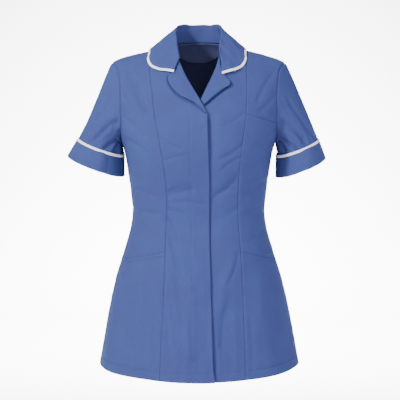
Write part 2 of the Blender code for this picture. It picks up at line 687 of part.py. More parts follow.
def lapel(collection, name, roll, seam, edge, under, cloth):
    """Turned-back lapel: a sheet from its roll line to its outer edge, lifting off the front."""
    down = np.linspace(0.0, 1.0, LAPEL_CELLS_ALONG + 1)[:, None]
    across = np.linspace(0.0, 1.0, LAPEL_CELLS_ACROSS + 1)[None, :]
    roll_line = along(roll, down[:, 0])[:, None, :]
    edge_line = along(edge, down[:, 0])[:, None, :]
    top = along(seam, across[0])[None, :, :]
    flat = roll_line + (edge_line - roll_line) * across[..., None]
    bent = top - (roll_line[:1] + (edge_line[:1] - roll_line[:1]) * across[..., None])
    flat = flat + bent * (1 - down[..., None]) ** 3
    x, height = flat[..., 0], flat[..., 1]
    at_foot = fade((down - LAPEL_FOOT_FROM) / LAPEL_FOOT_OVER)
    at_roll = LAPEL_ROLL_LEVEL + (LAPEL_FOOT_LEVEL - LAPEL_ROLL_LEVEL) * at_foot
    level = at_roll + (LAPEL_EDGE_LEVEL - at_roll) * across
    if under:
        level = level - UNDERLAP_DROP * (1 - fade((x - over_edge_x(height)) / UNDERLAP_FADE))
    body_wall(collection, name, x, height, -1, cloth, level + DOUBLE_CLOTH, DOUBLE_CLOTH)


def collar_lines():
    """Seam, roll and edge of the collar, from its right front end round the neck to its left one."""
    half = np.asarray(COLLAR_SECTIONS)
    mirrored = half[:0:-1] * (-1, 1, 1, -1, 1, 1)
    table = np.concatenate(([COLLAR_RIGHT_END], mirrored, half, [COLLAR_LEFT_END]))
    edges = np.concatenate((np.asarray(COLLAR_RIGHT_EDGE)[:0:-1] * (-1, 1, 1, 1), COLLAR_LEFT_EDGE))
    seam = np.array([on_body(x, height, face) for x, height, face in table[:, :3]])
    seam[:, 2] += COLLAR_SEAM_RISE
    edge = np.array([on_body(*row) for row in edges])
    knots = np.arange(len(table))
    at = np.linspace(0, len(table) - 1, (len(table) - 1) * COLLAR_CELLS_BETWEEN + 1)
    columns = np.column_stack((knots, seam, table[:, 3:], edge, edges[:, 3]))
    lines = np.stack([smooth(columns, 1 + column, at) for column in range(10)], axis=-1)
    return lines[:, :3], lines[:, 3:6], lift_to(lines[:, 6:9], lines[:, 9], True), lines[:, 9:]


def collar_profile(seam, roll, edge, level):
    """Visible side of the collar: up the stand, over the roll and down the fall, less its last run."""
    out = edge - roll
    out[:, 2] = 0.0
    out = unit(out)
    up = np.array((0.0, 0.0, 1.0))
    centre = roll - up * COLLAR_ROLL_RADIUS
    arc = [
        centre + COLLAR_ROLL_RADIUS * (np.cos(np.radians(angle)) * out + np.sin(np.radians(angle)) * up)
        for angle in COLLAR_ARC_DEGREES
    ]
    stand = [seam, (seam + arc[0]) / 2]
    run = edge - arc[-1]
    length = np.linalg.norm(run, axis=1, keepdims=True)
    shares = [(1 - (EDGING_WIDTH + EDGING_GAP) / length) * part for part in COLLAR_FALL_SHARES]
    shares += [1 - EDGING_WIDTH / length, np.ones_like(length)]
    lines = [arc[-1] + run * share + up * COLLAR_BULGE * np.sin(np.pi * share) for share in shares]
    fall = lift_to(np.stack(lines, axis=1), level + COLLAR_FALL_RISE, False)
    cells = len(COLLAR_FALL_SHARES)
    shell = np.concatenate((np.stack(stand + arc, axis=1), fall[:, :cells]), axis=1)
    return shell, fall[:, cells:]


def sheet_normals(grid, closed=False):
    """Unit normals of a grid of points, from the neighbours of each; its columns may be closed."""
    along_rows = np.gradient(grid, axis=0)
    if closed:
        across = np.roll(grid, -1, axis=1) - np.roll(grid, 1, axis=1)
    else:
        across = np.gradient(grid, axis=1)
    return unit(np.cross(along_rows, across))


def collar(collection, cloth, white):
    """Collar with its stand and fall, and the white edging along its outer edge."""
    shell, strip = collar_profile(*collar_lines())
    normals = sheet_normals(np.concatenate((shell, strip), axis=1))
    facing_up = np.sign(normals[..., 2].mean(axis=0)[-1])
    normals = normals * facing_up
    count = shell.shape[1]
    cloth_wall(collection, "collar", shell, shell - normals[:, :count] * COLLAR_THICK, cloth)
    cloth_wall(collection, "collar_edging", strip, strip - normals[:, count:] * EDGING_THICK, white)


def armhole_ring(side):
    """Points round an armhole, from the shoulder down the front and up the back, and the way out."""
    rows = np.arange(UNDERARM_ROW, SHOULDER_ROW + 1, dtype=float)
    points, normals = [], []
    for face in (-1, 1):
        x = np.full_like(rows, ARMHOLE[0][1])
        for _ in range(SETTLING_ROUNDS):
            x = armhole_out(row_height(side * x, rows, face), face)
        height = row_height(side * x, rows, face)
        line = on_body(side * x, height, face)
        facing = unit(slope(side * x, surface_y(side * x, height, face), height, face))
        order = slice(None, None, -1) if face < 0 else slice(1, -1)
        points.append(line[order])
        normals.append(facing[order])
    ring = np.concatenate(points)
    normal = np.concatenate(normals)
    way = unit(np.cross(np.roll(ring, -1, axis=0) - np.roll(ring, 1, axis=0), normal))
    way *= np.sign(((ring.mean(axis=0) - ring) * way).sum())
    return ring, normal, way


def sleeve_ring(sleeve, share, less=0.0):
    """Ring round a sleeve's cuff at a share from its top to its foot, drawn in by an amount."""
    side, top_out, top_z, top_half, foot_out, foot_z, foot_half, tilt = sleeve
    half = top_half + (foot_half - top_half) * share - less
    depth = SLEEVE_HALF_DEPTH * (1 + (SLEEVE_DEPTH_GROWTH - 1) * share) - less
    out = top_out + (foot_out - top_out) * share
    middle = np.array((side * out, 0.0, top_z + (foot_z - top_z) * share))
    wide = np.array((side * np.cos(np.radians(tilt)), 0.0, np.sin(np.radians(tilt)))) * half
    deep = np.array((0.0, -depth, -CUFF_FRONT_DIP))
    ring, _, _ = armhole_ring(side)
    steps = np.linalg.norm(np.roll(ring, -1, axis=0) - ring, axis=1)
    down = steps[:ARMHOLE_CELLS]
    up = steps[ARMHOLE_CELLS:]
    front = np.concatenate(([0.0], np.cumsum(down))) / down.sum()
    rear = np.cumsum(up)[:-1] / up.sum()
    angle = np.pi * np.concatenate((front, 1 + rear))[:, None]
    return middle + np.cos(angle) * wide + np.sin(angle) * deep


def sleeve_grid(sleeve):
    """Outer points of a sleeve: out of the armhole, over the arm and down inside the cuff."""
    side = sleeve[0]
    ring, normal, way = armhole_ring(side)
    start = ring + way * SLEEVE_GAP
    end = sleeve_ring(sleeve, 0.0, SLEEVE_UNDER_CUFF)
    foot = sleeve_ring(sleeve, SLEEVE_FOOT_SHARE, SLEEVE_UNDER_CUFF)
    reach = np.linalg.norm(end - start, axis=1, keepdims=True)
    pull = np.clip(reach * SLEEVE_START_SHARE, *SLEEVE_START_PULL)
    down = unit(foot - end)
    rings = []
    for share in SLEEVE_RINGS:
        mixed = (3 - 2 * share) * share ** 2
        leaving = share * (1 - share) ** 2 * pull * way
        arriving = share ** 2 * (1 - share) * reach * SLEEVE_END_PULL * down
        rings.append(start * (1 - mixed) + end * mixed + leaving - arriving)
    rings += [(end + foot) / 2, foot]
    return np.stack(rings), normal


def sleeves(collection, cloth, white):
    """Both sleeves with their turn-up cuffs and the white edging round the cuffs' tops."""
    for name, *sleeve in SLEEVES:
        outer, normal = sleeve_grid(sleeve)
        normals = sheet_normals(outer, True)
        centre = outer.mean(axis=1, keepdims=True)
        normals = normals * np.sign(((outer - centre) * normals).sum())
        normals[0] = normal
        cloth_wall(collection, f"sleeve_{name}", outer, outer - normals * CLOTH, cloth, True)
        depth = np.hypot(sleeve[4] - sleeve[1], sleeve[5] - sleeve[2])
        edging = EDGING_WIDTH / depth
        below = (EDGING_WIDTH + SEAM_GAP) / depth
        shares = np.linspace(below, 1.0, CUFF_CELLS + 1)
        cuff_ring(collection, f"cuff_{name}", sleeve, shares, DOUBLE_CLOTH, cloth)
        cuff_ring(collection, f"cuff_edging_{name}", sleeve, (0.0, edging), EDGING_THICK, white)


def cuff_ring(collection, name, sleeve, shares, thickness, material):
    """Band round the sleeve between shares of the cuff's depth."""
    outer = np.stack([sleeve_ring(sleeve, share) for share in shares])
    inner = np.stack([sleeve_ring(sleeve, share, thickness) for share in shares])
    cloth_wall(collection, name, outer, inner, material, True)


def build():
    """Make every piece of the tunic."""
    collection = start_collection()
    cloth = finish("tunic_cloth", TUNIC_BLUE)
    facing_cloth = finish("facing_cloth", FACING_BLUE)
    white = finish("edging_cloth", EDGING_WHITE)
    front_centres(collection, cloth)
    placket(collection, cloth)
    side_fronts(collection, cloth)
    back(collection, cloth, facing_cloth)
    lapel(collection, "lapel_right", RIGHT_LAPEL_ROLL, RIGHT_LAPEL_SEAM, RIGHT_LAPEL_EDGE, False, cloth)
    lapel(collection, "lapel_left", LEFT_LAPEL_ROLL, LEFT_LAPEL_SEAM, LEFT_LAPEL_EDGE, True, cloth)
    collar(collection, cloth, white)
    sleeves(collection, cloth, white)


build()
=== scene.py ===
"""Looks of a short-sleeved healthcare tunic that stands hollow, filled out as worn.

Every visible piece is a thin shell of cloth on the same form as its solid, with finer folds, seams,
hems and stitching. Units are metres; +X is the wearer's left, -Y the front and +Z up.
"""
import logging
from dataclasses import dataclass
from enum import Enum
from typing import Any, Callable, Sequence

import bpy
import numpy as np
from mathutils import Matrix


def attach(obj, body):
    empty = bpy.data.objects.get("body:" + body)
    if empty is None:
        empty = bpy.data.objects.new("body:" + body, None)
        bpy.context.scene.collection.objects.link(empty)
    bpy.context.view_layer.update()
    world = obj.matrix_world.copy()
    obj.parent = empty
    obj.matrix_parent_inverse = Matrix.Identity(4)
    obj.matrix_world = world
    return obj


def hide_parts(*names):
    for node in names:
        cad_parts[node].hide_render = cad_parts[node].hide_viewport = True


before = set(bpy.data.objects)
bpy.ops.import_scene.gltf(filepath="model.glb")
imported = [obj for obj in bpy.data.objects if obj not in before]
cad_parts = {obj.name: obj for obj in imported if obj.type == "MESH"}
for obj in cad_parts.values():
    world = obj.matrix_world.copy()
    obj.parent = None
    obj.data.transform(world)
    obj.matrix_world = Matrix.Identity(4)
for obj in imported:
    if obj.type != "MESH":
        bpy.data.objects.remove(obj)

LOG = logging.getLogger("tunic")
Array = np.ndarray
Table = Sequence[Sequence[float]]
Line = Callable[[Array], Array]
Pair = tuple[float, float]
Triple = tuple[float, float, float]
Path = tuple[Array, Array]

BODY = "root"
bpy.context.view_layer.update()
CLOTH = 0.0012
HALF_GAP = 0.0001
SEAM_RUB_REACH = 0.0022
FOLD_RUB_REACH = 0.002
STITCH_LEVEL = 0.0003
SETTLING_ROUNDS = 12
SLOPE_STEP = 1e-6
TINY = 1e-12
NOISE_CELLS = 64
# Radians that Blender's wave texture turns through in one unit.
WAVE_RADIANS = 20


class Face(Enum):
    """Front or back of the body; the value is the sign of y."""

    FRONT = -1
    BACK = 1


class Side(Enum):
    """The wearer's side; the value is the sign of x."""

    RIGHT = -1
    LEFT = 1


def smooth(rows: Table, column: int, at: Array) -> Array:
    """Value of a table's column on a smooth curve through its rows.

    A cubic Hermite runs between rows; its slope at a row is the mean of the slopes beside it,
    weighted by the width of the other cell, and positions past the ends are held at the ends.

    Args:
        rows: table whose first column rises.
        column: number of the column to read.
        at: positions in the first column.

    Returns:
        The column's value at each position.
    """
    table = np.asarray(rows, float)
    knots, values = table[:, 0], table[:, column]
    widths = np.diff(knots)
    rises = np.diff(values) / widths
    slopes = np.empty_like(values)
    slopes[1:-1] = (rises[:-1] * widths[1:] + rises[1:] * widths[:-1]) / (widths[:-1] + widths[1:])
    slopes[0], slopes[-1] = rises[0], rises[-1]
    at = np.clip(np.asarray(at, float), knots[0], knots[-1])
    cell = np.clip(np.searchsorted(knots, at, side="right") - 1, 0, len(knots) - 2)
    width = widths[cell]
    part = (at - knots[cell]) / width
    mixed = (3 - 2 * part) * part**2
    leaving = part * (1 - part) ** 2 * width * slopes[cell]
    arriving = part**2 * (1 - part) * width * slopes[cell + 1]
    return values[cell] * (1 - mixed) + values[cell + 1] * mixed + leaving - arriving


def along(points: Table, at: Array) -> Array:
    """Points on a smooth curve through given ones, at shares of its length.

    Args:
        points: the points that the curve passes.
        at: shares of the length, from 0 to 1.

    Returns:
        One point for each share.
    """
    given = np.asarray(points, float)
    steps = np.linalg.norm(np.diff(given, axis=0), axis=1)
    share = np.concatenate(([0.0], np.cumsum(steps))) / steps.sum()
    rows = np.column_stack((share, given))
    return np.stack([smooth(rows, 1 + axis, at) for axis in range(given.shape[1])], axis=-1)


def fade(value: Array) -> Array:
    """Soft step from 0 to 1, as 3 t squared less 2 t cubed."""
    value = np.clip(value, 0.0, 1.0)
    return value * value * (3 - 2 * value)


def bump(value: Array) -> Array:
    """Bell curve of height 1 that has fallen to a third at 1."""
    return np.exp(-np.square(value))


def unit(vectors: Array) -> Array:
    """Vectors scaled to a length of 1."""
    return vectors / np.linalg.norm(vectors, axis=-1, keepdims=True)


def crowded(cells: int, crowding: float = 0.75) -> Array:
    """Shares from 0 to 1 that lie closer near both ends: t less a sine of one turn."""
    even = np.linspace(0.0, 1.0, cells + 1)
    return even - crowding * np.sin(2 * np.pi * even) / (2 * np.pi)


def noise(u: Array, v: Array, seed: int) -> Array:
    """Smooth noise between -1 and 1: random heights at whole numbers, mixed by soft steps.

    Args:
        u: places along the first axis, in waves.
        v: places along the second axis, in waves.
        seed: start of the random draw.

    Returns:
        Values of the noise.
    """
    lattice = np.random.default_rng(seed).uniform(-1.0, 1.0, (NOISE_CELLS, NOISE_CELLS))
    low_u, low_v = np.floor(u).astype(int), np.floor(v).astype(int)
    part_u, part_v = fade(u - low_u), fade(v - low_v)
    rows, columns = (np.stack((low, low + 1)) % NOISE_CELLS for low in (low_u, low_v))
    near, far = (lattice[rows[0], column] * (1 - part_u) + lattice[rows[1], column] * part_u
                 for column in columns)
    return near * (1 - part_v) + far * part_v


def lengths(grid: Array, axis: int) -> Array:
    """Length run along a grid of points from its first row (axis 0) or column (axis 1).

    Args:
        grid: grid of points.
        axis: 0 down the rows, 1 across the columns.

    Returns:
        Length run at each point.
    """
    steps = np.linalg.norm(np.diff(grid, axis=axis), axis=-1)
    start = np.zeros_like(np.take(steps, [0], axis=axis))
    return np.concatenate((start, np.cumsum(steps, axis=axis)), axis=axis)


def normals_of(grid: Array, closed: bool = False) -> Array:
    """Unit normals of a grid, from the cross product of its steps along rows and columns.

    Args:
        grid: grid of points.
        closed: whether the last column joins the first.

    Returns:
        One unit normal for each point.
    """
    down = np.gradient(grid, axis=0)
    across = np.gradient(grid, axis=1)
    if closed:
        across = np.roll(grid, -1, axis=1) - np.roll(grid, 1, axis=1)
    return unit(np.cross(down, across))


class Mesh:
    """Helpers that put grids of points into Blender meshes."""

    RIM_OUT = 0.4
    SIDE_PUSH = 1e-3

    @staticmethod
    def faces(rows: int, columns: int, offset: int, flip: bool, closed: bool) -> Array:
        """Quads of a grid: each joins a point, its neighbour and the two in the next row.

        Args:
            rows: rows of points.
            columns: columns of points.
            offset: number of the first point.
            flip: turn the faces round.
            closed: join the last column to the first.

        Returns:
            Four point numbers for each quad.
        """
        row = np.arange(rows - 1)[:, None]
        column = np.arange(columns if closed else columns - 1)[None, :]
        beside = (column + 1) % columns
        low, high = row * columns, (row + 1) * columns
        corners = (low + column, low + beside, high + beside, high + column)
        quads = np.stack(np.broadcast_arrays(*corners), axis=-1).reshape(-1, 4) + offset
        return quads[:, ::-1] if flip else quads

    @staticmethod
    def border(rows: int, columns: int, closed: bool) -> list[Array]:
        """Loops of point numbers round a grid, in the direction of its faces.

        Args:
            rows: rows of points.
            columns: columns of points.
            closed: whether the last column joins the first.

        Returns:
            One loop, or two for a closed grid.
        """
        top = (rows - 1) * columns
        if closed:
            return [np.arange(columns), top + np.arange(columns)[::-1]]
        low = np.arange(columns)
        right = np.arange(1, rows) * columns + columns - 1
        high = top + np.arange(columns - 2, -1, -1)
        left = np.arange(rows - 2, 0, -1) * columns
        return [np.concatenate((low, right, high, left))]

    @staticmethod
    def rim_push(grid: Array, closed: bool) -> Array:
        """Unit way out of a grid at its border points: from the neighbour inside to the border.

        Args:
            grid: grid of points.
            closed: whether the last column joins the first.

        Returns:
            A unit vector at each border point and zero elsewhere.
        """
        push = np.zeros_like(grid)
        push[0] = grid[0] - grid[1]
        push[-1] = grid[-1] - grid[-2]
        if not closed:
            push[:, 0] += unit(grid[:, 0] - grid[:, 1]) * Mesh.SIDE_PUSH
            push[:, -1] += unit(grid[:, -1] - grid[:, -2]) * Mesh.SIDE_PUSH
        length = np.linalg.norm(push, axis=-1, keepdims=True)
        return push / np.maximum(length, TINY)

    @staticmethod
    def shell(name: str, outer: Array, inner: Array, finishes: Sequence[Any], closed: bool = False,
              worn: Array | None = None) -> bpy.types.Object:
        """Closed shell between two grids, with a rounded rim and a UV map in metres.

        The rim is one more loop of points half way through the wall, pushed out of the grid by
        a share of the wall. UV holds the length run across and down the grid.

        Args:
            name: name of the object.
            outer: grid of points that shows.
            inner: the same grid on the reverse.
            finishes: materials of the outer side, and of the reverse if it has its own.
            closed: join the last column to the first.
            worn: 0 to 1 at each point where the cloth is rubbed along edges and seams.

        Returns:
            The new object.
        """
        rows, columns = outer.shape[:2]
        count = rows * columns
        push = Mesh.rim_push(outer, closed)
        wall = np.linalg.norm(outer - inner, axis=-1, keepdims=True)
        middle = (outer + inner) / 2 + push * wall * Mesh.RIM_OUT
        loops = Mesh.border(rows, columns, closed)
        points = [outer.reshape(-1, 3), inner.reshape(-1, 3)]
        faces = [Mesh.faces(rows, columns, first, first > 0, closed) for first in (0, count)]
        source = [np.arange(count), np.arange(count)]
        start = 2 * count
        for loop in loops:
            points.append(middle.reshape(-1, 3)[loop])
            source.append(loop)
            rim = start + np.arange(len(loop))
            after, rim_after = np.roll(loop, -1), np.roll(rim, -1)
            faces.append(np.stack((after, loop, rim, rim_after), axis=-1))
            faces.append(np.stack((rim_after, rim, loop + count, after + count), axis=-1))
            start += len(loop)
        vertices = np.concatenate(points)
        quads = np.concatenate(faces)
        if Mesh.volume(vertices, quads) < 0:
            quads = quads[:, ::-1]
        across = lengths(outer, 1).reshape(-1)
        down = lengths(outer, 0).reshape(-1)
        numbers = np.concatenate(source)
        item = Mesh.item(name, vertices, quads, finishes[0])
        uv = np.stack((across, down), axis=-1)[numbers]
        Mesh.store_uv(item, uv, quads)
        rubbed = np.zeros(count) if worn is None else worn.reshape(-1)
        layer = item.data.attributes.new("worn", "FLOAT", "POINT")
        layer.data.foreach_set("value", rubbed[numbers].astype(np.float32))
        if len(finishes) > 1:
            item.data.materials.append(finishes[1])
            slots = np.zeros(len(quads), np.int32)
            slots[len(faces[0]):len(faces[0]) + len(faces[1])] = 1
            item.data.polygons.foreach_set("material_index", slots)
        return item

    @staticmethod
    def volume(vertices: Array, quads: Array) -> float:
        """Volume inside quads: a sixth of the sum of corner triple products of their halves.

        Args:
            vertices: all points.
            quads: four point numbers for each face.

        Returns:
            Signed volume; below zero when the faces point in.
        """
        corners = vertices[quads]
        first = np.cross(corners[:, 1], corners[:, 2])
        second = np.cross(corners[:, 2], corners[:, 3])
        return float((corners[:, 0] * (first + second)).sum() / 6)

    @staticmethod
    def item(name: str, vertices: Array, quads: Array, finish: Any) -> bpy.types.Object:
        """Object of quads in place, shaded smooth.

        Args:
            name: name of the new object.
            vertices: all points.
            quads: four point numbers for each face.
            finish: material of the object.

        Returns:
            The new object.
        """
        mesh = bpy.data.meshes.new(name)
        mesh.vertices.add(len(vertices))
        mesh.vertices.foreach_set("co", vertices.astype(np.float32).ravel())
        mesh.loops.add(quads.size)
        mesh.loops.foreach_set("vertex_index", quads.astype(np.int32).ravel())
        mesh.polygons.add(len(quads))
        mesh.polygons.foreach_set("loop_start", np.arange(0, quads.size, 4, dtype=np.int32))
        mesh.update(calc_edges=True)
        mesh.validate()
        mesh.shade_smooth()
        mesh.materials.append(finish)
        item = bpy.data.objects.new(name, mesh)
        bpy.context.scene.collection.objects.link(item)
        return item

    @staticmethod
    def store_uv(item: bpy.types.Object, uv: Array, quads: Array) -> None:
        """Give a mesh of quads a UV map from one UV for each point."""
        layer = item.data.uv_layers.new(name="UVMap")
        layer.data.foreach_set("uv", uv[quads.ravel()].astype(np.float32).ravel())


def linear(code: str) -> tuple[float, ...]:
    """Linear colour with alpha from an sRGB hex code such as #5B7FBE."""
    parts = [int(code[at:at + 2], 16) / 255 for at in (1, 3, 5)]
    return (*(c / 12.92 if c <= 0.04045 else ((c + 0.055) / 1.055) ** 2.4 for c in parts), 1.0)


def node(tree: bpy.types.NodeTree, kind: str, settings: dict[str, Any] | None = None,
         links: dict[Any, Any] | None = None) -> bpy.types.Node:
    """Add a shader node.

    Args:
        tree: node tree that gets it.
        kind: Blender's name of the node.
        settings: properties by name, and values of sockets by the name of the input.
        links: output sockets of other nodes, by the name or number of the input they feed.

    Returns:
        The new node.
    """
    made = tree.nodes.new(kind)
    for key, value in (settings or {}).items():
        if isinstance(key, int) or key in made.inputs:
            made.inputs[key].default_value = value
        else:
            setattr(made, key, value)
    for key, output in (links or {}).items():
        tree.links.new(output, made.inputs[key])
    return made


def ranged(tree: bpy.types.NodeTree, value: bpy.types.NodeSocket, source: Pair,
           target: Pair) -> bpy.types.Node:
    """Add a node that maps an output socket's value from one range to another."""
    ends = {"From Min": source[0], "From Max": source[1], "To Min": target[0], "To Max": target[1]}
    return node(tree, "ShaderNodeMapRange", ends, {"Value": value})


@dataclass(frozen=True)
class TwillCloth:
    """Polyester and cotton twill, piece dyed and pressed: a matt, dense cloth with a fine
    diagonal rib, a little paler where it is rubbed along seams and edges."""

    name: str
    colour: str
    worn_colour: str
    shade_colour: str
    roughness: float = 0.82
    specular: float = 0.08
    rib_mm: float = 0.9
    rib_height_mm: float = 0.035
    rib_turn: float = 0.785
    relief_strength: float = 0.5
    slub_mm: float = 7.0
    slub_stretch: float = 0.12
    slub_range: Pair = (0.975, 1.02)
    mottle_mm: float = 60.0
    mottle_mix: float = 0.55
    rubbed_mix: float = 0.22

    def material(self) -> bpy.types.Material:
        """Material that reads the piece's UV map in metres and its attribute of rubbed edges.

        The real rib is about 0.4 mm apart; it is drawn at rib_mm so that close views show it.

        Returns:
            The new material.
        """
        made = bpy.data.materials.new(self.name)
        made.use_nodes = True
        tree = made.node_tree
        tree.nodes.clear()
        uv = node(tree, "ShaderNodeUVMap", {"uv_map": "UVMap"})
        place = node(tree, "ShaderNodeTexCoord")
        turned = node(tree, "ShaderNodeMapping", {"Rotation": (0.0, 0.0, self.rib_turn)},
                      {"Vector": uv.outputs[0]})
        rib_scale = 2 * np.pi / WAVE_RADIANS * 1000 / self.rib_mm
        ribs = node(tree, "ShaderNodeTexWave",
                    {"wave_type": "BANDS", "bands_direction": "X", "Scale": rib_scale,
                     "Distortion": 0.6, "Detail": 1.0, "Detail Scale": 2.0},
                    {"Vector": turned.outputs[0]})
        stretched = node(tree, "ShaderNodeMapping", {"Scale": (1.0, self.slub_stretch, 1.0)},
                         {"Vector": uv.outputs[0]})
        slubs = node(tree, "ShaderNodeTexNoise", {"Scale": 1000 / self.slub_mm * 4, "Detail": 2.0},
                     {"Vector": stretched.outputs[0]})
        mottle = node(tree, "ShaderNodeTexNoise", {"Scale": 1000 / self.mottle_mm, "Detail": 3.0},
                      {"Vector": place.outputs["Object"]})
        spread = ranged(tree, mottle.outputs["Fac"], (0.3, 0.7), (0.0, self.mottle_mix))
        shaded = node(tree, "ShaderNodeMix",
                      {"data_type": "RGBA", 6: linear(self.colour), 7: linear(self.shade_colour)},
                      {"Factor": spread.outputs[0]})
        thread = ranged(tree, slubs.outputs["Fac"], (0.35, 0.65), self.slub_range)
        dyed = node(tree, "ShaderNodeMix", {"data_type": "RGBA", "blend_type": "MULTIPLY", "Factor": 1.0},
                    {6: shaded.outputs[2], 7: thread.outputs[0]})
        rubbed = node(tree, "ShaderNodeAttribute", {"attribute_name": "worn"})
        amount = node(tree, "ShaderNodeMath", {"operation": "MULTIPLY", 1: self.rubbed_mix},
                      {0: rubbed.outputs["Fac"]})
        base = node(tree, "ShaderNodeMix", {"data_type": "RGBA", 7: linear(self.worn_colour)},
                    {"Factor": amount.outputs[0], 6: dyed.outputs[2]})
        height = node(tree, "ShaderNodeMath", {"operation": "ADD"},
                      {0: ribs.outputs["Fac"], 1: slubs.outputs["Fac"]})
        relief = node(tree, "ShaderNodeBump",
                      {"Strength": self.relief_strength, "Distance": self.rib_height_mm / 1000},
                      {"Height": height.outputs[0]})
        shader = node(tree, "ShaderNodeBsdfPrincipled",
                      {"Roughness": self.roughness, "Specular IOR Level": self.specular, "Metallic": 0.0},
                      {"Base Color": base.outputs[2], "Normal": relief.outputs[0]})
        node(tree, "ShaderNodeOutputMaterial", None, {"Surface": shader.outputs[0]})
        return made


@dataclass(frozen=True)
class Finishes:
    """Every finish of the tunic, made once."""

    cloth: bpy.types.Material
    reverse: bpy.types.Material
    facing: bpy.types.Material
    edging: bpy.types.Material
    thread: bpy.types.Material

    @staticmethod
    def make() -> "Finishes":
        """Materials of the cloth, its reverse, the facing, the edging and the thread."""
        return Finishes(
            # Mid blue polyester and cotton twill of every outer panel, matt, a little paler where rubbed.
            cloth=TwillCloth("blue_polycotton_twill", "#3E4E81", "#4D5D90", "#3F4477").material(),
            # The same twill's reverse inside body and sleeves, darker and greyer than its face; that extra
            # darkness is painted shade for the inside of the hollow tunic. The same twill's reverse inside
            # body and sleeves, darker and greyer as in the photo's neck.
            reverse=TwillCloth("blue_twill_reverse_painted_shade", "#303656", "#383F61", "#2C324E",
                               specular=0.1).material(),
            # Violet grey facing inside the back of the neck.
            facing=TwillCloth("grey_blue_neck_facing", "#50567E", "#5C6189", "#4B5076",
                              specular=0.1).material(),
            # White cotton of the edging on collar and cuffs, with finer ribs.
            edging=TwillCloth("white_cotton_edging", "#FDFDFE", "#FFFFFF", "#F8F9FA",
                              rib_mm=0.8).material(),
            # Polyester sewing thread in the cloth's blue, smoother than the cloth.
            thread=TwillCloth("blue_polyester_thread", "#3D4E85", "#4B5C92", "#384980", roughness=0.7,
                              rib_mm=0.5, slub_mm=1.0).material(),
        )


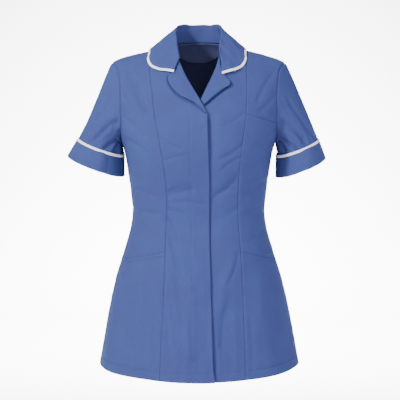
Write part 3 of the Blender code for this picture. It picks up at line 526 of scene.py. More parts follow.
@dataclass(frozen=True)
class BodyForm:
    """Form of the filled-out tunic: level sections, seam lines and rows from hem to shoulder."""

    sections: Table = (
        (-0.705, 0.22, 0.153, 0.15, 1.95), (-0.64, 0.2085, 0.147, 0.145, 2.0),
        (-0.57, 0.1955, 0.141, 0.14, 2.05), (-0.5, 0.1795, 0.134, 0.133, 2.1),
        (-0.44, 0.161, 0.124, 0.12, 2.15), (-0.4, 0.149, 0.114, 0.104, 2.2),
        (-0.362, 0.1425, 0.107, 0.092, 2.25), (-0.32, 0.145, 0.11, 0.092, 2.3),
        (-0.28, 0.15, 0.118, 0.098, 2.35), (-0.24, 0.156, 0.126, 0.104, 2.4),
        (-0.213, 0.162, 0.1295, 0.1075, 2.4), (-0.19, 0.169, 0.13, 0.1095, 2.4),
        (-0.16, 0.177, 0.13, 0.11, 2.4), (-0.12, 0.186, 0.13, 0.11, 2.4),
        (-0.06, 0.196, 0.13, 0.11, 2.4), (0.02, 0.206, 0.13, 0.11, 2.4),
    )
    shoulder_line: Table = (
        (0.0, 0.02), (0.03, 0.015), (0.062, 0.0), (0.1, -0.0115), (0.143, -0.022),
        (0.168, -0.03), (0.1835, -0.0368), (0.21, -0.05),
    )
    armhole: Table = (
        (-0.213, 0.162, 0.162), (-0.203, 0.1635, 0.1645), (-0.185, 0.164, 0.1672),
        (-0.15, 0.163, 0.1695), (-0.11, 0.1632, 0.17), (-0.075, 0.166, 0.1715),
        (-0.052, 0.1705, 0.1752), (-0.0425, 0.176, 0.1795), (-0.0368, 0.1835, 0.1835),
    )
    princess: Table = (
        (-0.705, -0.0813, 0.0994), (-0.614, -0.0784, 0.0972), (-0.558, -0.0751, 0.0951),
        (-0.486, -0.0716, 0.0913), (-0.43, -0.0696, 0.0885), (-0.4, -0.069, 0.0862),
        (-0.345, -0.0658, 0.0822), (-0.292, -0.0674, 0.0838), (-0.233, -0.0752, 0.0873),
        (-0.188, -0.0833, 0.0937), (-0.15, -0.0909, 0.0985), (-0.098, -0.0964, 0.1008),
        (-0.053, -0.1024, 0.1013), (0.0, -0.104, 0.1015),
    )
    placket: Table = (
        (-0.705, -0.0115, 0.035), (-0.668, -0.0121, 0.0303), (-0.612, -0.0128, 0.0284),
        (-0.526, -0.0135, 0.0262), (-0.394, -0.0157, 0.0229), (-0.27, -0.0176, 0.0222),
        (-0.195, -0.0188, 0.0196), (-0.14, -0.0196, 0.0182),
    )
    right_neck_edge: Table = (
        (-0.14, 0.0182), (-0.1266, 0.0102), (-0.1114, 0.002), (-0.0859, -0.0135),
        (-0.0634, -0.0268), (-0.0386, -0.0387), (-0.02, -0.044), (-0.01, -0.049),
        (-0.004, -0.055), (0.0, -0.062),
    )
    left_neck_edge: Table = (
        (-0.705, -0.01), (-0.2, -0.012), (-0.14, -0.01), (-0.124, -0.0035), (-0.1083, 0.0061),
        (-0.0859, 0.0174), (-0.0572, 0.0314), (-0.0344, 0.0401), (-0.02, 0.044), (-0.01, 0.049),
        (-0.004, 0.055), (0.0, 0.062),
    )
    hip_mouth: Pair = (-0.4305, -0.4545)
    breast_mouth: Pair = (-0.144, -0.164)
    bust_height: float = -0.205
    blade_height: float = -0.15
    underarm_height: float = -0.213
    break_height: float = -0.14
    front_lean_power: float = 1.55
    back_lean_power: float = 2.0
    back_neck_lean_power: float = 3.0
    hem: float = -0.69
    hem_dip: float = 0.008
    neck_half_width: float = 0.062
    back_neck_height: float = 0.006
    hip_row: int = 8
    underarm_row: int = 16
    breast_row: int = 20
    upper_rows: tuple[float, ...] = (0.0, 0.16, 0.32, 0.47, 0.6, 0.72, 0.82, 0.9, 0.955, 0.988, 1.0)

    @property
    def shoulder_row(self) -> int:
        """Number of the row along the shoulder seams."""
        return self.breast_row + len(self.upper_rows) - 1

    @property
    def stops(self) -> tuple[int, int, int, int]:
        """Rows along the hip pockets' mouths, the underarm, the chest pocket's mouth and the shoulder."""
        return self.hip_row, self.underarm_row, self.breast_row, self.shoulder_row

    def half_width(self, height: Array) -> Array:
        """Half width of the level section, as if it had no armholes."""
        return smooth(self.sections, 1, height)

    def out_share(self, x: Array, height: Array) -> Array:
        """How far out x lies, as a share of the half width."""
        return np.clip(np.abs(x) / self.half_width(height), 0.0, 1.0)

    def squareness(self, height: Array) -> Array:
        """Power of the level section: 2 is an ellipse and more is squarer."""
        return smooth(self.sections, 4, height)

    def turn_height(self, face: Face) -> float:
        """Fullest level of the chest or the upper back, above which it leans to the shoulder."""
        return self.bust_height if face is Face.FRONT else self.blade_height

    def ridge_height(self, x: Array, face: Face) -> Array:
        """Height of the shoulder line at x; inside the neck only the back rises on."""
        out = np.maximum(np.abs(x), self.neck_half_width) if face is Face.FRONT else np.abs(x)
        return smooth(self.shoulder_line, 1, out)

    def lean_power(self, x: Array, face: Face) -> Array:
        """Fullness between the fullest level and the shoulder line; more behind the neck.

        Args:
            x: places across.
            face: front or back.

        Returns:
            Powers of the lean.
        """
        if face is Face.FRONT:
            return np.full_like(x, self.front_lean_power)
        near_neck = bump(x / self.neck_half_width)
        return self.back_lean_power + (self.back_neck_lean_power - self.back_lean_power) * near_neck

    def middle_depth(self, height: Array, face: Face) -> Array:
        """Depth of the level section at the middle."""
        column = 2 if face is Face.FRONT else 3
        return smooth(self.sections, column, np.minimum(height, self.turn_height(face)))

    def section_depth(self, x: Array, height: Array, face: Face) -> Array:
        """Depth at x: the middle depth times (1 - share to the power p) to the power 1/p."""
        power = self.squareness(height)
        return self.middle_depth(height, face) * (1 - self.out_share(x, height) ** power) ** (1 / power)

    def surface_y(self, x: Array, height: Array, face: Face) -> Array:
        """Where the surface lies at x and height; it leans in as (1 - rise^q)^(1/q).

        Args:
            x: places across.
            height: heights.
            face: front or back.

        Returns:
            Places from front to back.
        """
        turn = self.turn_height(face)
        power = self.lean_power(x, face)
        rise = np.clip((height - turn) / (self.ridge_height(x, face) - turn), 0.0, 1.0)
        return face.value * self.section_depth(x, height, face) * (1 - rise**power) ** (1 / power)

    def shape_value(self, x: Array, y: Array, height: Array, face: Face) -> Array:
        """1 on the body's surface, less inside it and more outside.

        Args:
            x: places across.
            y: places from front to back.
            height: heights.
            face: front or back.

        Returns:
            The shape value of each point.
        """
        turn = self.turn_height(face)
        power = self.squareness(height)
        across = (np.abs(x) / self.half_width(height)) ** power
        deep = (np.abs(y) / self.middle_depth(height, face)) ** power
        section = (across + deep) ** (1 / power)
        power = self.lean_power(x, face)
        rise = np.clip((height - turn) / (self.ridge_height(x, face) - turn), 0.0, None)
        level = np.maximum(self.section_depth(x, height, face), SLOPE_STEP)
        leaning = ((np.abs(y) / level) ** power + rise**power) ** (1 / power)
        return np.where(height > turn, leaning, section)

    def slope(self, x: Array, y: Array, height: Array, face: Face) -> Array:
        """Gradient of the shape value, which points straight out of the surface.

        Args:
            x: places across.
            y: places from front to back.
            height: heights.
            face: front or back.

        Returns:
            Gradient vectors.
        """
        pairs = []
        for step in np.eye(3) * SLOPE_STEP:
            ahead = self.shape_value(x + step[0], y + step[1], height + step[2], face)
            behind = self.shape_value(x - step[0], y - step[1], height - step[2], face)
            pairs.append((ahead - behind) / (2 * SLOPE_STEP))
        return np.stack(pairs, axis=-1)

    def way_out(self, x: Array, height: Array, face: Face) -> Array:
        """Unit way straight out of the surface at x and height."""
        return unit(self.slope(x, self.surface_y(x, height, face), height, face))

    def height_above(self, points: Array, face: Face) -> tuple[Array, Array]:
        """Distance of points from the body's surface, and the way straight out.

        Args:
            points: points near the surface.
            face: front or back.

        Returns:
            Distances, and unit ways straight out.
        """
        x, y, height = points[..., 0], points[..., 1], points[..., 2]
        steep = self.slope(x, y, height, face)
        value = self.shape_value(x, y, height, face)
        return (value - 1) / np.linalg.norm(steep, axis=-1), unit(steep)

    def lift_to(self, points: Array, level: Array, exact: bool) -> Array:
        """Move points straight out to a level above the body, or only those that are lower.

        Args:
            points: points near the surface.
            level: height over the draped form.
            exact: whether points already higher also move.

        Returns:
            The moved points.
        """
        for _ in range(SETTLING_ROUNDS):
            front, front_way = self.height_above(points, Face.FRONT)
            back, back_way = self.height_above(points, Face.BACK)
            behind = points[..., 1] > 0
            lack = level - np.where(behind, back, front)
            way = np.where(behind[..., None], back_way, front_way)
            if not exact:
                lack = np.maximum(lack, 0.0)
            points = points + way * lack[..., None]
        return points

    def princess_x(self, height: Array, side: Side) -> Array:
        """Princess seam of one front."""
        return smooth(self.princess, 1 if side is Side.RIGHT else 2, height)

    def over_edge_x(self, height: Array) -> Array:
        """Free edge of the right front, which laps over, and above it the roll of its lapel."""
        neck = smooth(self.right_neck_edge, 1, height)
        return np.where(height < self.break_height, smooth(self.placket, 2, height), neck)

    def under_edge_x(self, height: Array) -> Array:
        """Free edge of the left front, which lies under, and its roll."""
        return smooth(self.left_neck_edge, 1, height)

    def stitch_x(self, height: Array) -> Array:
        """Stitched line of the placket."""
        return smooth(self.placket, 1, np.minimum(height, self.break_height))

    def armhole_out(self, height: Array, face: Face) -> Array:
        """How far out the armhole or, below it, the side seam lies."""
        armhole = smooth(self.armhole, 1 if face is Face.FRONT else 2, height)
        return np.where(height > self.underarm_height, armhole, self.half_width(height))

    def hem_height(self, x: Array, face: Face) -> Array:
        """Height of the hem, which dips a little at the centre front."""
        dip = self.hem_dip if face is Face.FRONT else 0.0
        return self.hem - dip * np.clip(1 - (x / self.half_width(self.hem)) ** 2, 0.0, 1.0)

    def mouth_height(self, x: Array, ends: Pair, face: Face) -> Array:
        """Height of a slanted line from the princess seam to the outer seam; level across the back.

        Args:
            x: places across.
            ends: heights at the inner and the outer seam.
            face: front or back.

        Returns:
            Heights of the line.
        """
        if face is Face.BACK:
            return np.full_like(x, ends[1])
        right, left = self.princess_x(ends[0], Side.RIGHT), self.princess_x(ends[0], Side.LEFT)
        inner_out = np.abs(np.where(x < 0, right, left))
        share = np.clip((np.abs(x) - inner_out) / (self.armhole_out(ends[1], face) - inner_out), 0.0, 1.0)
        return ends[0] + (ends[1] - ends[0]) * share

    def top_height(self, x: Array, face: Face) -> Array:
        """Height of the shoulder seam or, behind the neck, of the back neck seam.

        Args:
            x: places across.
            face: front or back.

        Returns:
            Heights of the top edge.
        """
        ridge = self.ridge_height(x, face)
        if face is Face.FRONT:
            return ridge
        inside = np.clip(1 - (x / self.neck_half_width) ** 2, 0.0, 1.0)
        return np.where(np.abs(x) < self.neck_half_width, self.back_neck_height * inside, ridge)

    def row_height(self, x: Array, row: Array, face: Face) -> Array:
        """Height of a row, counted from the hem to the shoulder, at x.

        Args:
            x: places across.
            row: row numbers.
            face: front or back.

        Returns:
            Heights of the row.
        """
        hem = self.hem_height(x, face)
        hip = self.mouth_height(x, self.hip_mouth, face)
        breast = self.mouth_height(x, self.breast_mouth, face)
        rise = np.interp(row - self.breast_row, np.arange(len(self.upper_rows)), self.upper_rows)
        upper = breast + (self.top_height(x, face) - breast) * rise
        chest_share = (row - self.underarm_row) / (self.breast_row - self.underarm_row)
        chest = self.underarm_height + (breast - self.underarm_height) * chest_share
        waist_share = (row - self.hip_row) / (self.underarm_row - self.hip_row)
        waist = hip + (self.underarm_height - hip) * waist_share
        skirt = hem + (hip - hem) * row / self.hip_row
        zones = (row <= self.hip_row, row <= self.underarm_row, row <= self.breast_row)
        return np.select(zones, (skirt, waist, chest), upper)

    def turn_of(self, x: Array, height: Array) -> Array:
        """How far round its section a point lies: 0 at the middle, a quarter turn at the side."""
        return np.sign(x) * np.arcsin(self.out_share(x, height) ** (self.squareness(height) / 2))

    def out_at_turn(self, angle: Array, height: Array) -> Array:
        """x of the point that lies this far round its section."""
        power = 2 / self.squareness(height)
        return np.sign(angle) * self.half_width(height) * np.abs(np.sin(angle)) ** power

    def spread(self, row: Array, share: Array, edges: tuple[Line, Line], face: Face,
               round_body: bool) -> tuple[Array, Array]:
        """x and height of a grid between two seams, spaced evenly across or evenly round the body.

        Args:
            row: row number of every point.
            share: share of the way from the first to the second seam, of every point.
            edges: x of the two seams at a height.
            face: front or back.
            round_body: space the columns by their turn round the body.

        Returns:
            x and height of every point.
        """
        x = edges[0](np.full_like(row, self.underarm_height))
        for _ in range(SETTLING_ROUNDS):
            height = self.row_height(x, row, face)
            first, last = edges[0](height), edges[1](height)
            if round_body:
                angle = self.turn_of(first, height) * (1 - share) + self.turn_of(last, height) * share
                x = self.out_at_turn(angle, height)
            else:
                x = first + (last - first) * share
        return x, self.row_height(x, row, face)


@dataclass(frozen=True)
class Drape:
    """Folds of the cloth as heights over the form.

    A fold runs from one end to the other with a sideways bow, falls off across its half width as a
    bell curve and fades towards its ends. Rows hold x1, z1, x2, z2, bow, half width and height, in
    millimetres.
    """

    front: Table = (
        (-64, -380, -30, -600, 4, 14, -2), (-40, -420, -22, -640, 2, 12, 1.8),
        (-50, -550, -18, -655, 3, 12, 1.6), (74, -440, 36, -560, 3, 15, 1.8),
        (58, -540, 50, -630, 2, 12, -1.5), (-66, -388, -34, -505, 4, 7.5, -1.1),
        (-58, -470, -40, -610, 3, 6.5, 1.2), (-72, -520, -60, -650, 2, 6, -1),
        (-66, -312, -12, -298, 0, 8, -2), (83, -273, 32, -322, 0, 9.5, -1.6),
        (-150, -60, -108, -145, 0, 11, -2.4), (-68, -307, -24, -291, 2, 4, -0.8),
        (-63, -327, 12, -330, 3, 4, -0.9), (-64, -343, -30, -352, 2, 3.5, -1),
        (-67, -360, -41, -416, 3, 4.5, -1.4), (-45, -440, -18, -520, -3, 7, -0.7),
        (-66, -400, -52, -470, 2, 5, 1), (-56, -545, -47, -627, 2, 4.5, -1.3),
        (-30, -560, -16, -640, 3, 6, 1), (-34, -620, -38, -688, 1, 7, -1.2),
        (80, -275, 34, -315, 3, 4.5, -0.8), (82, -341, 36, -363, 2, 4.5, -0.7),
        (80, -300, 52, -304, -2, 3.5, -0.9), (71, -447, 36, -520, 4, 7, 0.6),
        (84, -430, 58, -500, 3, 6, -1.2), (56, -545, 48, -628, -2, 5, -0.8),
        (74, -560, 78, -680, 2, 8, 1.2), (40, -600, 42, -686, 1, 6, 1),
        (96, -140, 48, -168, 3, 4.5, -0.9), (93, -205, 40, -238, 3, 5, -1),
        (88, -232, 46, -262, -3, 4, -0.9), (-82, -190, -34, -214, -3, 5, -0.9),
        (-72, -240, -30, -228, 2, 4, -0.8), (-150, -55, -128, -99, 3, 5, -1.4),
        (-128, -99, -104, -142, -3, 4.5, -1.2), (-160, -105, -122, -158, 4, 5, -1.1),
        (-160, -150, -110, -196, 4, 6, -1.2), (-156, -196, -104, -226, 3, 5.5, -1.2),
        (-148, -300, -86, -318, 3, 5, -1), (-143, -345, -80, -352, -2, 5, -1.1),
        (-142, -372, -90, -400, 3, 6, -1), (-130, -470, -118, -600, 4, 10, 1.2),
        (-95, -520, -92, -670, 2, 8, -1), (-165, -540, -158, -680, 2, 10, -1.2),
        (158, -60, 122, -120, -3, 5.5, -1.3), (162, -100, 126, -140, 3, 5, -1),
        (162, -175, 112, -212, 3, 5.5, -1.2), (156, -225, 104, -252, 3, 5.5, -1.1),
        (150, -285, 96, -310, -3, 5, -1), (144, -350, 96, -356, 2, 5, -1.1),
        (146, -385, 104, -410, 3, 6, -1), (128, -480, 124, -610, 4, 10, 1.2),
        (166, -540, 170, -684, -2, 9, -1.1), (108, -560, 112, -684, 2, 7, -0.9),
    )
    back: Table = (
        (-60, -340, -25, -500, 0, 13, -4.2), (55, -350, 85, -540, 0, 13, -4.2),
        (-20, -470, 12, -640, 0, 14, 4.5), (100, -300, 30, -325, 0, 10, -3.6),
        (-110, -290, -40, -330, 0, 10, -3.3), (-120, -90, -80, -190, 0, 13, -3.3),
        (-140, -345, -70, -352, 3, 5, -1.8), (-132, -372, -78, -392, 3, 5.5, -1.6),
        (-60, -318, -4, -330, -3, 5, -1.8), (12, -338, 66, -332, 3, 5, -1.6),
        (142, -338, 86, -350, 3, 5, -1.8), (136, -366, 80, -396, -3, 5.5, -1.6),
        (146, -300, 92, -312, 2, 4.5, -1.5), (-146, -262, -92, -290, 2, 5, -1.5),
        (-158, -200, -96, -262, 4, 7, -2.1), (158, -196, 104, -244, 4, 7, -1.9),
        (150, -88, 110, -158, 3, 7, -2.1), (-164, -120, -126, -182, 4, 6, -1.8),
        (52, -40, 92, -100, 4, 7, -1.6), (-40, -30, -66, -92, -3, 7, -1.5),
        (-12, -405, -30, -520, 3, 6, 1.8), (30, -410, 18, -560, -3, 7, -1.8),
        (-92, -440, -104, -620, 4, 9, 1.9), (-140, -520, -150, -684, 2, 9, -1.8),
        (118, -470, 126, -660, 3, 10, 1.9), (154, -540, 166, -684, 2, 9, -1.6),
        (-58, -560, -60, -684, 2, 7, -1.6), (52, -580, 48, -684, 2, 7, 1.5),
    )
    end_share: float = 0.3
    strength: float = 1.7
    hem_waves: int = 7
    wave_height: float = 0.0026
    wave_top: float = -0.42
    wave_phase: float = 0.6
    wave_depth: float = 0.15
    broad: Pair = (0.06, 0.0011)
    narrow: Pair = (0.024, 0.00042)
    side_clear: float = 0.1
    streak: float = 0.001
    streak_size: Pair = (0.013, 0.075)
    streak_top: float = -0.4
    streak_run: float = 0.1
    streak_at_sides: float = 0.35
    streak_middle: float = 0.09
    seed: int = 11

    def height(self, body: BodyForm, x: Array, z: Array, face: Face) -> Array:
        """Height of all folds, waves of the hem and small unevenness at points of the form.

        Args:
            body: the form that the cloth hangs on.
            x: places across.
            z: heights of the points.
            face: front or back.

        Returns:
            Height over the form at each point.
        """
        total = np.zeros_like(x)
        folds = self.front if face is Face.FRONT else self.back
        for x1, z1, x2, z2, bow, width, size in np.divide(folds, 1000):
            size = size * self.strength
            length = np.hypot(x2 - x1, z2 - z1)
            way = ((x2 - x1) / length, (z2 - z1) / length)
            down = ((x - x1) * way[0] + (z - z1) * way[1]) / length
            across = (x - x1) * way[1] - (z - z1) * way[0] + bow * 4 * down * (1 - down)
            ends = fade(down / self.end_share + 0.5) * fade((1 - down) / self.end_share + 0.5)
            total += size * bump(across / width) * ends
        depth = np.abs(body.surface_y(x, z, face)) / self.wave_depth
        angle = np.arctan2(x / body.half_width(z), -face.value * depth)
        flare = fade((self.wave_top - z) / (self.wave_top - body.hem))
        total += self.wave_height * flare * np.cos(self.hem_waves * angle + self.wave_phase)
        from_side = fade((1 - np.abs(x) / body.half_width(z)) / self.side_clear)
        inward = self.streak_at_sides + (1 - self.streak_at_sides) * bump(x / self.streak_middle)
        skirt = fade((self.streak_top - z) / self.streak_run) * inward
        wide, tall = self.streak_size
        total += self.streak * from_side * skirt * noise(x / wide + 20, z / tall + 7, self.seed + 3)
        for number, (size, amount) in enumerate((self.broad, self.narrow)):
            seed = self.seed + 7 * number + (face is Face.BACK)
            total += amount * from_side * noise(x / size + 9, z / (1.3 * size) + 30, seed)
        return total


@dataclass(frozen=True)
class SeamRelief:
    """How cloth lies beside a seam: it dips into the seam and puckers at uneven distances."""

    dip: float = 0.00095
    width: float = 0.0018
    pucker: float = 0.00085
    spacing: float = 0.012
    reach: float = 0.006
    fine_share: float = 0.3
    fine_spacing: float = 0.45

    def height(self, distance: Array, run: Array, seed: int) -> Array:
        """Height at a distance from a seam, at a length run along it.

        The dip fades out over the width; the puckers are smooth noise along the seam that falls
        off as exp(-distance / reach).

        Args:
            distance: distance from the border.
            run: length run along the border.
            seed: start of the random draw.

        Returns:
            Height at each point.
        """
        groove = -self.dip * (1 - fade(distance / self.width))
        puckers = noise(run / self.spacing + 5, run * 0 + 0.5, seed) * (1 - self.fine_share)
        fine = noise(run / (self.fine_spacing * self.spacing), run * 0 + 3.5, seed + 1)
        puckers = puckers + fine * self.fine_share
        return groove + self.pucker * puckers * np.exp(-distance / self.reach)


class Border(Enum):
    """What runs along one side of a panel."""

    SEAM = "seam"
    HEM = "hem"
    MOUTH = "pocket mouth"
    FOLD = "folded free edge"
    PLAIN = "plain edge"


@dataclass(frozen=True)
class EdgeRelief:
    """Relief of hems, pocket mouths and folded edges with their stitch lines.

    The pull holds its spacing, reach and height, and the waver of a mouth its spacing, least and
    spread.
    """

    hem_stitch: float = 0.02
    mouth_stitch: float = 0.0065
    dent: float = 0.00038
    mouth_share: float = 0.6
    dent_width: float = 0.0011
    bulk: float = 0.00012
    bulk_run: float = 0.002
    pull: Triple = (0.011, 0.005, 0.00028)
    gape: float = 0.0001
    gape_reach: float = 0.011
    waver: Triple = (0.03, 0.6, 0.8)
    fold_width: float = 0.0022
    fold_drop: float = 0.0017

    def height(self, kind: Border, distance: Array, run: Array, seed: int) -> Array:
        """Height at a distance from a border: folded rim, stitched dent and the bulk of the turning.

        Args:
            kind: kind of border.
            distance: distance from the border.
            run: length run along the border.
            seed: start of the random draw.

        Returns:
            Height at each point.
        """
        if kind in (Border.PLAIN, Border.SEAM):
            return np.zeros_like(distance)
        rim = np.clip(1 - distance / self.fold_width, 0.0, 1.0)
        total = -self.fold_drop * (1 - np.sqrt(np.maximum(1 - rim**2, 0.0)))
        if kind is Border.FOLD:
            return total
        at = self.hem_stitch if kind is Border.HEM else self.mouth_stitch
        share = 1.0 if kind is Border.HEM else self.mouth_share
        total -= self.dent * share * bump((distance - at) / self.dent_width)
        total += self.bulk * (1 - fade((distance - at) / self.bulk_run + 0.5))
        spacing, reach, size = self.pull
        total += size * (noise(run / spacing, run * 0 + 2.5, seed) * np.exp(-np.abs(distance - at) / reach))
        if kind is Border.MOUTH:
            spacing, least, more = self.waver
            waver = least + more * noise(run / spacing, run * 0, seed + 3)
            total += self.gape * np.exp(-distance / self.gape_reach) * waver
        return total


@dataclass(frozen=True)
class Panel:
    """Cut panel of the body: its grid, levels, borders and finishes.

    Borders come in the order of the first column, the last column, the first row and the last row.
    """

    name: str
    face: Face
    rows: Array
    shares: Array
    edges: tuple[Line, Line]
    borders: tuple[Border, Border, Border, Border]
    level: Callable[[Array, Array, Array], Array]
    round_body: bool = True
    thickness: float = CLOTH
    seed: int = 1

    def build(self, tunic: "Tunic") -> None:
        """Args:
            tunic: the whole tunic.
        """
        row = self.rows[:, None] * np.ones(len(self.shares))
        share = np.ones((len(self.rows), 1)) * self.shares
        x, height = tunic.body.spread(row, share, self.edges, self.face, self.round_body)
        relief, worn = self.relief(tunic.at(x, height, self.face, 0.0), height)
        level = self.level(x, height, row) + relief
        outer = tunic.at(x, height, self.face, level)
        inner = tunic.at(x, height, self.face, level - self.thickness)
        finishes = (tunic.finishes.cloth, tunic.finishes.reverse)
        item = Mesh.shell(f"{self.name}_cloth", outer, inner, finishes, worn=worn)
        tunic.declare(item, self.name)

    def relief(self, flat: Array, height: Array) -> tuple[Array, Array]:
        """Height of the seams and borders over the panel, and how much the cloth is rubbed there.

        Args:
            flat: grid of points with no relief.
            height: heights.

        Returns:
            Height, and 0 to 1 where the cloth is rubbed.
        """
        across, down = lengths(flat, 1), lengths(flat, 0)
        distances = (across, across[:, -1:] - across, down, down[-1:] - down)
        runs = (height, height, across, across)
        total, worn = np.zeros_like(height), np.zeros_like(height)
        seam, edge = SeamRelief(), EdgeRelief()
        for number, (kind, distance, run) in enumerate(zip(self.borders, distances, runs)):
            seed = self.seed + 10 * number
            if kind is Border.SEAM:
                total += seam.height(distance, run, seed)
            else:
                total += edge.height(kind, distance, run, seed)
            if kind in (Border.HEM, Border.MOUTH, Border.FOLD):
                worn = np.maximum(worn, np.exp(-distance / SEAM_RUB_REACH))
        return total, worn


def rows_between(*stops: tuple[float, float, int]) -> Array:
    """Row numbers through stretches given as (first row, last row, cells), crowded at their ends."""
    parts = [low + (high - low) * crowded(cells, 0.5)[:-1] for low, high, cells in stops]
    return np.concatenate((*parts, [stops[-1][1]]))


@dataclass(frozen=True)
class Thread:
    """Stitches as short lengths of thread that rise out of the cloth and dive back.

    The profile's rows hold a ring's place along the stitch, its rise and its size, as shares of the
    length, the lift and the radius.
    """

    length: float = 0.0026
    pitch: float = 0.0031
    radius: float = 0.00021
    lift: float = 0.00016
    sides: int = 6
    profile: Table = ((-0.5, -1.5, 0.15), (-0.34, 0.6, 1.0), (0.34, 0.6, 1.0), (0.5, -1.5, 0.15))
    uv_step: float = 1e-4

    def sew(self, name: str, paths: Sequence[Path],
            finish: bpy.types.Material) -> bpy.types.Object:
        """Stitches along paths over the cloth.

        Each stitch has four rings round its middle line; the end rings are small and sunk.

        Args:
            name: name of the object.
            paths: points along each line of stitches, and the way out of the cloth there.
            finish: material of the thread.

        Returns:
            The new object.
        """
        stations, rise, size = np.array(self.profile).T
        rise, size = rise * self.lift, size * self.radius
        corner = (np.arange(self.sides) * 2 * np.pi / self.sides)[:, None]
        cosines, sines = np.cos(corner), np.sin(corner)
        points = []
        for path, out in paths:
            steps = np.linalg.norm(np.diff(path, axis=0), axis=1)
            run = np.concatenate(([0.0], np.cumsum(steps)))
            middles = np.arange(self.pitch, run[-1] - self.pitch / 2, self.pitch)
            at = middles[:, None] + stations * self.length
            centre = np.stack([np.interp(at, run, path[:, axis]) for axis in range(3)], axis=-1)
            way = unit(np.stack([np.interp(at, run, out[:, axis]) for axis in range(3)], axis=-1))
            ahead = unit(centre[:, -1:] - centre[:, :1]) + np.zeros_like(centre)
            beside = unit(np.cross(ahead, way))
            centre = centre + way * rise[:, None]
            level, upright = beside[:, :, None] * cosines, way[:, :, None] * sines
            points.append((centre[:, :, None] + (level + upright) * size[:, None, None]).reshape(-1, 3))
        vertices = np.concatenate(points)
        each = len(stations) * self.sides
        ring = Mesh.faces(len(stations), self.sides, 0, True, True)
        caps = np.array([[0, 1, 2, 3], [0, 3, 4, 5]])
        quads = np.concatenate((ring, caps, caps[:, ::-1] + each - self.sides))
        starts = np.arange(len(vertices) // each) * each
        quads = (quads[None] + starts[:, None, None]).reshape(-1, 4)
        if Mesh.volume(vertices, quads) < 0:
            quads = quads[:, ::-1]
        item = Mesh.item(name, vertices, quads, finish)
        uv = np.stack((np.arange(len(vertices)) * self.uv_step, vertices[:, 2]), axis=-1)
        Mesh.store_uv(item, uv, quads)
        return item


